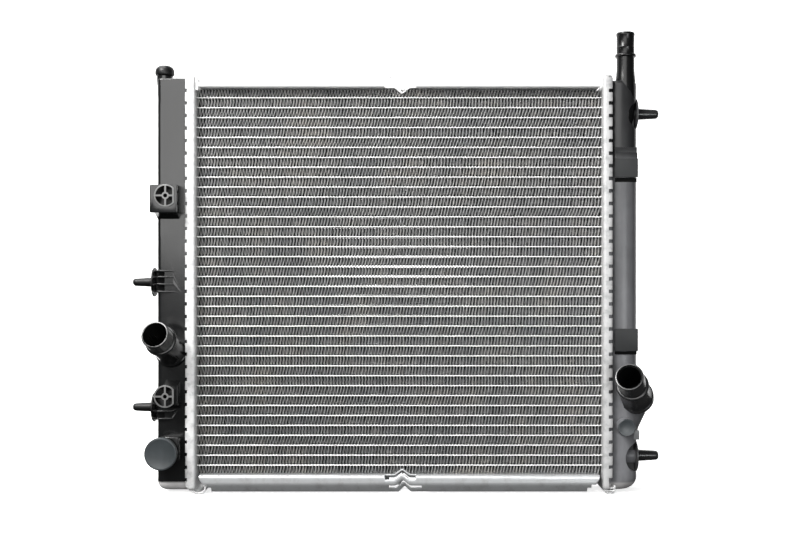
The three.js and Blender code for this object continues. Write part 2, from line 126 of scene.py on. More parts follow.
def lathe(name, profile, origin, axis, seg=48, material=None, sharp=35.0):
    """A closed body of revolution from (radius, distance) pairs; the ends lie on the axis."""
    a = Vector(axis).normalized()
    u = a.orthogonal().normalized()
    w = a.cross(u)
    o = Vector(origin)
    prof = [p for p in profile if p[0] > 1e-6]
    st = []
    for r, d in prof:
        st.append([tuple(o + a * d + (u * math.cos(t) + w * math.sin(t)) * r) for t in (2 * math.pi * k / seg for k in range(seg))])
    verts, faces = rings(st)
    return outward(obj_from(name, verts, faces, material, sharp))


def fillet(points, radii, n=4):
    """Rounds the corners of an open or closed 2-D polyline given as [(a, b)], with a radius each."""
    out = []
    m = len(points)
    for i, (p, r) in enumerate(zip(points, radii)):
        p = np.array(p, float)
        if r <= 0:
            out.append(tuple(p))
            continue
        q0 = np.array(points[(i - 1) % m], float)
        q1 = np.array(points[(i + 1) % m], float)
        d0 = q0 - p
        d1 = q1 - p
        l0, l1 = np.linalg.norm(d0), np.linalg.norm(d1)
        d0, d1 = d0 / l0, d1 / l1
        half = math.acos(max(-1, min(1, float(d0 @ d1)))) / 2
        t = min(r / math.tan(half), l0 * 0.49, l1 * 0.49)
        rr = t * math.tan(half)
        c = p + (d0 + d1) / np.linalg.norm(d0 + d1) * (rr / math.sin(half))
        s0, s1 = p + d0 * t, p + d1 * t
        a0 = math.atan2(*(s0 - c)[::-1])
        a1 = math.atan2(*(s1 - c)[::-1])
        da = (a1 - a0 + math.pi) % (2 * math.pi) - math.pi
        for k in range(n + 1):
            ang = a0 + da * k / n
            out.append((c[0] + rr * math.cos(ang), c[1] + rr * math.sin(ang)))
    return out


def inset(poly, d):
    """A closed polygon moved inward by d; the polygon runs anticlockwise."""
    p = np.array(poly, float)
    prev = np.roll(p, 1, 0)
    nxt = np.roll(p, -1, 0)
    e0 = p - prev
    e1 = nxt - p
    e0 /= np.linalg.norm(e0, axis=1)[:, None] + 1e-12
    e1 /= np.linalg.norm(e1, axis=1)[:, None] + 1e-12
    n0 = np.stack([-e0[:, 1], e0[:, 0]], 1)
    n1 = np.stack([-e1[:, 1], e1[:, 0]], 1)
    b = n0 + n1
    b /= np.maximum((b * n0).sum(1), 0.35)[:, None] * 1.0
    return p + b * d


def area2(poly):
    p = np.array(poly)
    q = np.roll(p, -1, 0)
    return float((p[:, 0] * q[:, 1] - q[:, 0] * p[:, 1]).sum())


def slab(name, poly, axis, lo, hi, bevel=0.4, material=None, n=3, sharp=35.0, bevel_lo=None, bevel_hi=None):
    """A flat polygon extruded along an axis, its two rims rounded."""
    poly = list(poly)
    if area2(poly) < 0:
        poly = poly[::-1]
    b0 = bevel if bevel_lo is None else bevel_lo
    b1 = bevel if bevel_hi is None else bevel_hi
    st = []
    seq = []
    if b0 > 0:
        seq += [(lo + b0 * (1 - math.cos(math.pi / 2 * k / n)), b0 * (1 - math.sin(math.pi / 2 * k / n))) for k in range(n + 1)]
    else:
        seq += [(lo, 0)]
    if b1 > 0:
        seq += [(hi - b1 * (1 - math.cos(math.pi / 2 * k / n)), b1 * (1 - math.sin(math.pi / 2 * k / n))) for k in range(n, -1, -1)]
    else:
        seq += [(hi, 0)]
    for h, d in seq:
        ring = inset(poly, d) if d > 1e-9 else np.array(poly, float)
        if axis == "x":
            st.append([(h, a, b) for a, b in ring])
        elif axis == "y":
            st.append([(a, h, b) for a, b in ring])
        else:
            st.append([(a, b, h) for a, b in ring])
    verts, faces = rings(st)
    return outward(obj_from(name, verts, faces, material, sharp))


def circle(cx, cy, r, n=48, start=0.0):
    return [(cx + r * math.cos(start + 2 * math.pi * k / n), cy + r * math.sin(start + 2 * math.pi * k / n)) for k in range(n)]


def rect(a0, a1, b0, b1, r=0.0, n=4):
    pts = [(a0, b0), (a1, b0), (a1, b1), (a0, b1)]
    return fillet(pts, [r] * 4, n) if r > 0 else pts


def boolean(ob, tools, op="UNION"):
    """Applies booleans with closed tool meshes, then removes the tools. The result keeps the object's one material."""
    mat = ob.data.materials[0] if ob.data.materials else None
    for t in tools:
        m = ob.modifiers.new(op.lower(), "BOOLEAN")
        m.operation = op
        m.solver = "MANIFOLD"
        m.object = t
    dg = bpy.context.evaluated_depsgraph_get()
    dg.update()
    me = bpy.data.meshes.new_from_object(ob.evaluated_get(dg))
    ob.modifiers.clear()
    me.polygons.foreach_set("material_index", np.zeros(len(me.polygons), dtype=np.int32))
    me.materials.clear()
    if mat:
        me.materials.append(mat)
    old = ob.data
    ob.data = me
    bpy.data.meshes.remove(old)
    for t in tools:
        data = t.data
        bpy.data.objects.remove(t)
        if data.users == 0:
            bpy.data.meshes.remove(data)
    return ob


def apply_mods(ob):
    dg = bpy.context.evaluated_depsgraph_get()
    dg.update()
    me = bpy.data.meshes.new_from_object(ob.evaluated_get(dg))
    ob.modifiers.clear()
    old = ob.data
    ob.data = me
    bpy.data.meshes.remove(old)
    return ob


# ------------------------------------------------------------------- materials
def material(name):
    m = bpy.data.materials.new(name)
    m.use_nodes = True
    nt = m.node_tree
    bsdf = nt.nodes["Principled BSDF"]
    return m, nt, bsdf


def node(nt, kind, **values):
    n = nt.nodes.new(kind)
    for k, v in values.items():
        if hasattr(n, k) and k not in n.inputs:
            setattr(n, k, v)
        else:
            n.inputs[k].default_value = v
    return n


def noise(nt, scale, detail=4.0, rough=0.5, vector=None, stretch=None):
    n = node(nt, "ShaderNodeTexNoise", Scale=scale, Detail=detail, Roughness=rough)
    tc = nt.nodes.new("ShaderNodeTexCoord")
    src = tc.outputs["Object"]
    if stretch:
        mp = nt.nodes.new("ShaderNodeMapping")
        mp.inputs["Scale"].default_value = stretch
        nt.links.new(src, mp.inputs["Vector"])
        src = mp.outputs["Vector"]
    nt.links.new(src, n.inputs["Vector"])
    return n


def ramp(nt, fac, stops, interp="LINEAR"):
    r = nt.nodes.new("ShaderNodeValToRGB")
    r.color_ramp.interpolation = interp
    el = r.color_ramp.elements
    while len(el) > 1:
        el.remove(el[-1])
    el[0].position, el[0].color = stops[0][0], (*stops[0][1], 1)
    for pos, col in stops[1:]:
        e = el.new(pos)
        e.color = (*col, 1)
    nt.links.new(fac, r.inputs["Fac"])
    return r


def grey(v, tint=(1, 1, 1)):
    return (v * tint[0], v * tint[1], v * tint[2])


def mat_range(nt, fac, lo, hi):
    m = nt.nodes.new("ShaderNodeMapRange")
    m.inputs["To Min"].default_value = lo
    m.inputs["To Max"].default_value = hi
    nt.links.new(fac, m.inputs["Value"])
    return m


def bump(nt, height, strength, distance, normal=None):
    b = nt.nodes.new("ShaderNodeBump")
    b.inputs["Strength"].default_value = strength
    b.inputs["Distance"].default_value = distance
    nt.links.new(height, b.inputs["Height"])
    if normal is not None:
        nt.links.new(normal, b.inputs["Normal"])
    return b


def make_plastic(name, base=0.014, tint=(0.97, 1.0, 1.04), rough=(0.30, 0.42), painted_floor_reflection=None, painted_shade_by_height=None, spec=0.5):
    """Black glass-filled nylon: satin, with faint flow streaks and a fine grain. Below the given height (mm) the colour
    is painted pale: a painted reflection of the floor in the bottom ends.
    """
    m, nt, bsdf = material(name)
    bsdf.inputs["Specular IOR Level"].default_value = spec
    streak = noise(nt, 9.0, 6.0, 0.6, stretch=(3.0, 3.0, 0.6))
    fine = noise(nt, 900.0, 3.0, 0.55)
    blotch = noise(nt, 45.0, 5.0, 0.6)
    c = ramp(nt, streak.outputs["Fac"], [(0.3, grey(base * 0.7, tint)), (0.55, grey(base, tint)), (0.75, grey(base * 1.6, tint))])
    mix = node(nt, "ShaderNodeMix", data_type="RGBA", blend_type="MULTIPLY")
    mix.inputs[0].default_value = 0.4
    nt.links.new(c.outputs["Color"], mix.inputs[6])
    r2 = ramp(nt, blotch.outputs["Fac"], [(0.35, grey(0.65)), (0.65, grey(1.0))])
    nt.links.new(r2.outputs["Color"], mix.inputs[7])
    colour = mix.outputs[2]
    # painted reflection: the colour turns pale below a given height, standing in for the floor seen in the rounded
    # bottom ends
    if painted_floor_reflection:
        tc = nt.nodes.new("ShaderNodeTexCoord")
        sep = nt.nodes.new("ShaderNodeSeparateXYZ")
        nt.links.new(tc.outputs["Object"], sep.inputs[0])
        edge = nt.nodes.new("ShaderNodeMapRange")
        edge.interpolation_type = "SMOOTHSTEP"
        edge.inputs["From Min"].default_value = painted_floor_reflection[0] * MM
        edge.inputs["From Max"].default_value = painted_floor_reflection[1] * MM
        edge.inputs["To Min"].default_value = 1.0
        edge.inputs["To Max"].default_value = 0.0
        nt.links.new(sep.outputs["Z"], edge.inputs["Value"])
        floor_reflection_colour = ramp(nt, blotch.outputs["Fac"], [(0.35, grey(painted_floor_reflection[2] * 0.75, (1.0, 0.97, 0.97))), (0.65, grey(painted_floor_reflection[2], (1.0, 0.98, 0.98)))])
        pale = node(nt, "ShaderNodeMix", data_type="RGBA", blend_type="MIX")
        nt.links.new(edge.outputs["Result"], pale.inputs[0])
        nt.links.new(colour, pale.inputs[6])
        nt.links.new(floor_reflection_colour.outputs["Color"], pale.inputs[7])
        colour = pale.outputs[2]
    # painted shade: the colour is multiplied by a ramp over height
    if painted_shade_by_height:
        tc2 = nt.nodes.new("ShaderNodeTexCoord")
        sep2 = nt.nodes.new("ShaderNodeSeparateXYZ")
        nt.links.new(tc2.outputs["Object"], sep2.inputs[0])
        up = nt.nodes.new("ShaderNodeMapRange")
        up.inputs["From Min"].default_value = painted_shade_by_height[0][0] * MM
        up.inputs["From Max"].default_value = painted_shade_by_height[-1][0] * MM
        nt.links.new(sep2.outputs["Z"], up.inputs["Value"])
        span = painted_shade_by_height[-1][0] - painted_shade_by_height[0][0]
        shade = ramp(nt, up.outputs["Result"], [((z - painted_shade_by_height[0][0]) / span, grey(f)) for z, f in painted_shade_by_height])
        dim = node(nt, "ShaderNodeMix", data_type="RGBA", blend_type="MULTIPLY")
        dim.inputs[0].default_value = 1.0
        nt.links.new(colour, dim.inputs[6])
        nt.links.new(shade.outputs["Color"], dim.inputs[7])
        colour = dim.outputs[2]
    nt.links.new(colour, bsdf.inputs["Base Color"])
    rr = mat_range(nt, blotch.outputs["Fac"], rough[0], rough[1])
    nt.links.new(rr.outputs["Result"], bsdf.inputs["Roughness"])
    b1 = bump(nt, blotch.outputs["Fac"], 0.10, 0.0003)
    b = bump(nt, fine.outputs["Fac"], 0.14, 0.00012, b1.outputs["Normal"])
    nt.links.new(b.outputs["Normal"], bsdf.inputs["Normal"])
    return m


def make_aluminium(name, base=0.86, tint=(1.0, 1.0, 1.0), rough=(0.32, 0.5), mottle=0.12, metal=1.0, scale=60.0, grain=0.25):
    """Brazed aluminium sheet: pale, a little mottled by flux and handling."""
    m, nt, bsdf = material(name)
    blot = noise(nt, scale, 6.0, 0.62)
    brush = noise(nt, 40.0, 4.0, 0.5, stretch=(0.6, 12.0, 12.0))
    fine = noise(nt, 700.0, 4.0, 0.6)
    c = ramp(nt, blot.outputs["Fac"], [(0.32, grey(base * (1 - mottle), (0.985, 0.99, 1.0))), (0.5, grey(base, tint)), (0.7, grey(min(base * (1 + mottle * 0.35), 0.97), tint))])
    nt.links.new(c.outputs["Color"], bsdf.inputs["Base Color"])
    rr = mat_range(nt, blot.outputs["Fac"], rough[1], rough[0])
    nt.links.new(rr.outputs["Result"], bsdf.inputs["Roughness"])
    bsdf.inputs["Metallic"].default_value = metal
    b1 = bump(nt, brush.outputs["Fac"], 0.18, 0.0002)
    b2 = bump(nt, fine.outputs["Fac"], grain, 0.00012, b1.outputs["Normal"])
    nt.links.new(b2.outputs["Normal"], bsdf.inputs["Normal"])
    return m


def painted_depth_shade(nt, full, gone, low):
    """1 near the two faces of the core, falling to low inside: painted shade deep in the core's channels."""
    tc = nt.nodes.new("ShaderNodeTexCoord")
    sep = nt.nodes.new("ShaderNodeSeparateXYZ")
    nt.links.new(tc.outputs["Object"], sep.inputs[0])
    off = node(nt, "ShaderNodeMath", operation="SUBTRACT")
    nt.links.new(sep.outputs["Y"], off.inputs[0])
    off.inputs[1].default_value = OY * MM
    ab = node(nt, "ShaderNodeMath", operation="ABSOLUTE")
    nt.links.new(off.outputs[0], ab.inputs[0])
    mr = nt.nodes.new("ShaderNodeMapRange")
    mr.interpolation_type = "SMOOTHSTEP"
    nt.links.new(ab.outputs[0], mr.inputs["Value"])
    mr.inputs["From Min"].default_value = gone * MM
    mr.inputs["From Max"].default_value = full * MM
    mr.inputs["To Min"].default_value = low
    mr.inputs["To Max"].default_value = 1.0
    return mr


def make_core(name, cols, rough, metal, full, gone, low, scale=28.0, spot=0.4):
    """Clad aluminium of the core, its colour darkened towards the middle of its depth: painted shade."""
    m, nt, bsdf = material(name)
    blot = noise(nt, scale, 5.0, 0.6)
    cell = noise(nt, 420.0, 3.0, 0.6)
    base = ramp(nt, blot.outputs["Fac"], [(0.3, cols[0]), (0.5, cols[1]), (0.7, cols[2])])
    sp = ramp(nt, cell.outputs["Fac"], [(0.3, grey(0.7)), (0.6, grey(1.0))])
    mix = node(nt, "ShaderNodeMix", data_type="RGBA", blend_type="MULTIPLY")
    mix.inputs[0].default_value = spot
    nt.links.new(base.outputs["Color"], mix.inputs[6])
    nt.links.new(sp.outputs["Color"], mix.inputs[7])
    fade = painted_depth_shade(nt, full, gone, low)
    mix2 = node(nt, "ShaderNodeMix", data_type="RGBA", blend_type="MULTIPLY")
    mix2.inputs[0].default_value = 1.0
    nt.links.new(mix.outputs[2], mix2.inputs[6])
    nt.links.new(fade.outputs["Result"], mix2.inputs[7])
    nt.links.new(mix2.outputs[2], bsdf.inputs["Base Color"])
    bsdf.inputs["Metallic"].default_value = metal
    rr = mat_range(nt, blot.outputs["Fac"], rough[1], rough[0])
    nt.links.new(rr.outputs["Result"], bsdf.inputs["Roughness"])
    b = bump(nt, cell.outputs["Fac"], 0.3, 0.0002)
    nt.links.new(b.outputs["Normal"], bsdf.inputs["Normal"])
    return m


def make_rubber(name):
    m, nt, bsdf = material(name)
    n1 = noise(nt, 300.0, 4.0, 0.6)
    c = ramp(nt, n1.outputs["Fac"], [(0.3, grey(0.012)), (0.7, grey(0.03))])
    nt.links.new(c.outputs["Color"], bsdf.inputs["Base Color"])
    rr = mat_range(nt, n1.outputs["Fac"], 0.6, 0.8)
    nt.links.new(rr.outputs["Result"], bsdf.inputs["Roughness"])
    b = bump(nt, n1.outputs["Fac"], 0.2, 0.0002)
    nt.links.new(b.outputs["Normal"], bsdf.inputs["Normal"])
    return m


# Both tanks are painted pale below about 10 to 12 mm: a painted reflection of the floor in their rounded bottom ends.
M_TANK = make_plastic("left_tank_nylon", base=0.007, rough=(0.13, 0.21), painted_floor_reflection=(9.6, 12.4, 0.62))
# The right tank's nylon is painted far paler than the left tank's and its own neck's: painted light. A ramp over height
# darkens it upward: painted shade.
M_TANK_R_PAINTED_LIGHT = make_plastic("right_tank_nylon_painted_light_shade", base=0.165, tint=(0.975, 0.985, 1.04), rough=(0.24, 0.34), spec=0.29, painted_floor_reflection=(9.0, 12.0, 0.42), painted_shade_by_height=[(0.0, 1.0), (60.0, 1.0), (130.0, 0.8), (260.0, 0.78), (300.0, 0.6), (325.0, 0.12), (392.0, 0.09), (399.0, 0.04), (450.0, 0.03)])
M_PALE = make_plastic("pale_edge_nylon", base=0.30, tint=(0.98, 1.0, 1.02), rough=(0.4, 0.5))
M_RING = make_plastic("pale_ring_nylon", base=0.13, tint=(1.0, 1.0, 1.0), rough=(0.4, 0.5))
M_PAD = make_plastic("fan_pad_nylon", base=0.018, tint=(0.95, 1.0, 1.06), rough=(0.46, 0.6), spec=0.36)
M_NECK_R = make_plastic("right_neck_nylon", base=0.018, tint=(0.98, 0.99, 1.04), rough=(0.2, 0.3), spec=0.5)
M_SPIGOT = make_plastic("spigot_nylon", base=0.004, rough=(0.2, 0.3), spec=0.3)
M_PIN = make_plastic("left_pin_nylon", base=0.006, rough=(0.36, 0.48), spec=0.24)
M_FLANGE = make_plastic("right_flange_nylon", base=0.05, tint=(0.98, 0.99, 1.02), rough=(0.3, 0.4), spec=0.4)
# Near-black nylon for the floors of the right pin hollows: painted shade.
M_HOLLOW_SHADE = make_plastic("right_hollow_shade_nylon", base=0.012, tint=(0.98, 0.99, 1.02), rough=(0.4, 0.5), spec=0.3)
# Near-black nylon for thin sheets laid in pockets and the hose bore: painted shade.
M_SHADE_SHEET = make_plastic("painted_shade_nylon", base=0.003, rough=(0.65, 0.8), spec=0.12)
M_BLANK = make_plastic("port_blank_nylon", base=0.045, tint=(0.86, 1.0, 1.08), rough=(0.30, 0.42))
M_SCREW = make_plastic("bleed_screw_nylon", base=0.006, rough=(0.32, 0.44), spec=0.26)
M_HEADER = make_aluminium("header_aluminium", base=0.67, mottle=0.28, rough=(0.45, 0.6), metal=0.35, scale=130.0, grain=0.4)
M_PLATE = make_aluminium("side_plate_aluminium", base=0.64, tint=(0.965, 0.985, 1.0), mottle=0.20, rough=(0.24, 0.40), metal=0.6, scale=90.0)
# The right header's aluminium is a darker copy of the left header's: painted shade.
M_HEADER_R_SHADED = make_aluminium("header_aluminium_right_painted_shade", base=0.48, mottle=0.30, rough=(0.45, 0.6), metal=0.35, scale=130.0, grain=0.4)
# The top plate's aluminium is paler than the headers' and the bottom plate's: painted light from above.
M_TOP_LIT = make_aluminium("top_plate_aluminium_painted_light", base=0.90, mottle=0.08, rough=(0.42, 0.58), metal=0.3)
# Tubes and fins are darkened in colour towards the middle of the core's depth: painted shade.
M_TUBE = make_core("tube_aluminium", [(0.74, 0.74, 0.74), (0.80, 0.80, 0.79), (0.84, 0.84, 0.83)], (0.4, 0.55), 0.25, 12.4, 11.4, 0.10, 200.0, 0.15)
M_FIN = make_core("fin_aluminium", [(0.45, 0.46, 0.47), (0.54, 0.54, 0.535), (0.64, 0.62, 0.59)], (0.40, 0.52), 0.75, 11.4, 9.6, 0.03)
M_RUBBER = make_rubber("gasket_rubber")


# ------------------------------------------------------------------------ core
def fin_mesh(name, z0, z1, seed):
    """One corrugated fin. Each leg's louvres turn the other way from its neighbour's, as they do when a louvred strip is folded."""
    rnd = np.random.RandomState(seed)
    waves = 128
    p = 2 * FIN_HALF / waves
    n = waves * 2  # legs
    t = 0.05
    z0, z1 = z0 + t, z1 - t
    jit = rnd.normal(0, 0.11, n + 1)
    slow = np.cumsum(rnd.normal(0, 0.02, n + 1))
    slow -= np.linspace(slow[0], slow[-1], n + 1)
    xc = -FIN_HALF + p / 2 * np.arange(n + 1) + jit + np.clip(slow, -0.5, 0.5)
    lean = 0.26 * rnd.normal(0, 1) + 0.16 * np.sin(np.linspace(0, 7 + 3 * rnd.rand(), n + 1) + 6 * rnd.rand())
    up = np.arange(n + 1) % 2 == 1
    xc = xc + np.where(up, lean, -lean)
    xc[0], xc[-1] = -FIN_HALF, FIN_HALF
    zc = np.where(up, z1, z0)
    r = 0.30  # half width of a fold
    # points: each fold as three, each leg with two more where the louvres start and end
    xs, zs, sh, com = [], [], [], []
    for i in range(n + 1):
        s = 1 if up[i] else -1
        if i > 0:
            xs.append(xc[i] - r); zs.append(zc[i] - s * 0.42); sh.append(0); com.append(1)
        xs.append(xc[i]); zs.append(zc[i]); sh.append(0); com.append(0.6)
        if i < n:
            xs.append(xc[i] + r); zs.append(zc[i] - s * 0.42); sh.append(0); com.append(1)
            xa, xb = xc[i] + r, xc[i + 1] - r
            za, zb = zc[i] - s * 0.42, zc[i + 1] + s * 0.42
            sgn = 1 if i % 2 == 0 else -1
            k = rnd.uniform(0.8, 1.2)
            for f in (0.1, 0.5, 0.9):
                xs.append(xa + (xb - xa) * f); zs.append(za + (zb - za) * f); sh.append(sgn * k); com.append(1)
    pts = np.stack([xs, zs], 1)
    sh = np.array(sh)
    com = np.array(com)
    d = np.diff(pts, axis=0)
    d /= np.linalg.norm(d, axis=1)[:, None]
    nn = np.stack([-d[:, 1], d[:, 0]], 1)
    vn = np.zeros_like(pts)
    vn[:-1] += nn
    vn[1:] += nn
    vn /= np.linalg.norm(vn, axis=1)[:, None]
    k = np.ones(len(pts))
    k[1:-1] = 1 / np.maximum((vn[1:-1] * nn[:-1]).sum(1), 0.6)
    a = pts + vn * (t * k)[:, None]
    b = pts - vn * (t * k)[:, None]
    # depth stations: (y, louvre swing, shift of the whole sheet)
    half = [(-12.2, LOUVRE, 0.14), (-10.6, -LOUVRE, -0.20), (-6.4, 0.0, 1.15)]
    st = half + [(0.0, 0.0, -1.15)] + [(-y, s, c) for y, s, c in reversed(half)]
    m = len(pts)
    verts = []
    for y, s, c in st:
        for skin in (a, b):
            xx = np.clip(skin[:, 0] + s * sh + c * com, -FIN_HALF - 0.6, FIN_HALF + 0.6)
            verts.append(np.stack([xx, np.full(m, y), skin[:, 1]], 1))
    verts = np.concatenate(verts)
    faces = []
    i = np.arange(m - 1)
    for j in range(len(st) - 1):
        A0, B0, A1, B1 = (2 * j) * m, (2 * j + 1) * m, (2 * j + 2) * m, (2 * j + 3) * m
        faces.append(np.stack([A0 + i, A0 + i + 1, A1 + i + 1, A1 + i], 1))
        faces.append(np.stack([B0 + i + 1, B0 + i, B1 + i, B1 + i + 1], 1))
        faces.append(np.array([[A0, A1, B1, B0], [A0 + m - 1, B0 + m - 1, B1 + m - 1, A1 + m - 1]]))
    J = len(st) - 1
    faces.append(np.stack([i, m + i, m + i + 1, i + 1], 1))
    A, B = 2 * J * m, (2 * J + 1) * m
    faces.append(np.stack([A + i, A + i + 1, B + i + 1, B + i], 1))
    ob = obj_from(name, verts, np.concatenate(faces), M_FIN, sharp=40.0)
    return ob, xc, up


LOUVRE = 0.30
fold_x = {}
core_pieces = []
for r in range(TUBES + 1):
    z1 = TUBE_Z0 - (r - 1) * PITCH - TUBE_T / 2 - 0.03
    z0 = z1 - ROOM + 0.06
    ob, xc, top = fin_mesh(f"fin_{r + 1:02d}", z0, z1, 100 + r)
    fold_x[r] = (xc, top)
    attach(ob, "radiator")
    if r == 0:
        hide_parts("top_fin")
    else:
        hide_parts(f"tube_and_fin_{r:02d}")
    core_pieces.append(ob)


def tube_mesh(name, index):
    """A flat tube with round noses, and the braze fillets where the folds of the fins above and below touch it."""
    rnd = np.random.RandomState(500 + index)
    zc = TUBE_Z0 - index * PITCH
    h = TUBE_T / 2
    half = 13.0
    seg = 8
    prof = []
    for k in range(seg + 1):
        t = math.pi / 2 + math.pi * k / seg
        prof.append((-half + 1.5 * h + 1.5 * h * math.cos(t), h * 0.68 * math.sin(t)))
    for k in range(seg + 1):
        t = -math.pi / 2 + math.pi * k / seg
        prof.append((half - 1.5 * h + 1.5 * h * math.cos(t), h * 0.68 * math.sin(t)))
    inner = [(y * (half - 0.35) / half, z * (h - 0.3) / h) for y, z in prof]
    L = 196.3
    xs = [-L, -193.0] + list(np.linspace(-188, 188, 24)) + [193.0, L]
    wob = rnd.normal(0, 0.05, len(xs))
    wob[:2] = 0
    wob[-2:] = 0
    st = [[(x, y, zc + z + w * (1 if abs(y) > 11 else 0.3)) for y, z in prof] for x, w in zip(xs, wob)] + [[(x, y, zc + z) for y, z in inner] for x in (L, -L)]
    verts, faces = rings(st, closed_ends=False, closed_loop=True)
    # fillets: low rounded ridges across the tube under each fold
    base = len(verts)
    for row, sgn in ((index, 1), (index + 1, -1)):
        xs, top = fold_x[row]
        use = ~top if sgn > 0 else top
        for x in xs[use]:
            w = 0.46 + 0.14 * rnd.rand()
            hh = 0.50 + 0.40 * rnd.rand()
            lean = 0.14 * rnd.randn()
            z0 = zc + sgn * (h * 0.68 - 0.12)
            ring = [(x - w, z0), (x - w * 0.55, z0 + sgn * hh * 0.52), (x - w * 0.2 + lean, z0 + sgn * hh), (x + w * 0.2 + lean, z0 + sgn * hh), (x + w * 0.55, z0 + sgn * hh * 0.52), (x + w, z0)]
            f0 = -12.5 - 0.12 * rnd.rand()
            m = len(ring)
            for y in (f0, -f0):
                verts += [(a, y, b) for a, b in ring]
            q = [base + k for k in range(m)]
            s = [base + m + k for k in range(m)]
            for k in range(m):
                k2 = (k + 1) % m
                faces.append((q[k], q[k2], s[k2], s[k]))
            faces.append(tuple(reversed(q)))
            faces.append(tuple(s))
            base += 2 * m
    return outward(obj_from(name, verts, faces, M_TUBE, sharp=50.0))


for i in range(TUBES):
    ob = tube_mesh(f"flat_tube_{i + 1:02d}", i)
    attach(ob, "radiator")
    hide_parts(f"tube_and_fin_{i + 1:02d}")
    core_pieces.append(ob)


# --------------------------------------------------------------------- headers
HEAD_IN, HEAD_OUT = 193.4, 204.0
HEAD_TOP, HEAD_BOT = 398.7, 3.4
HEAD_D = 22.5


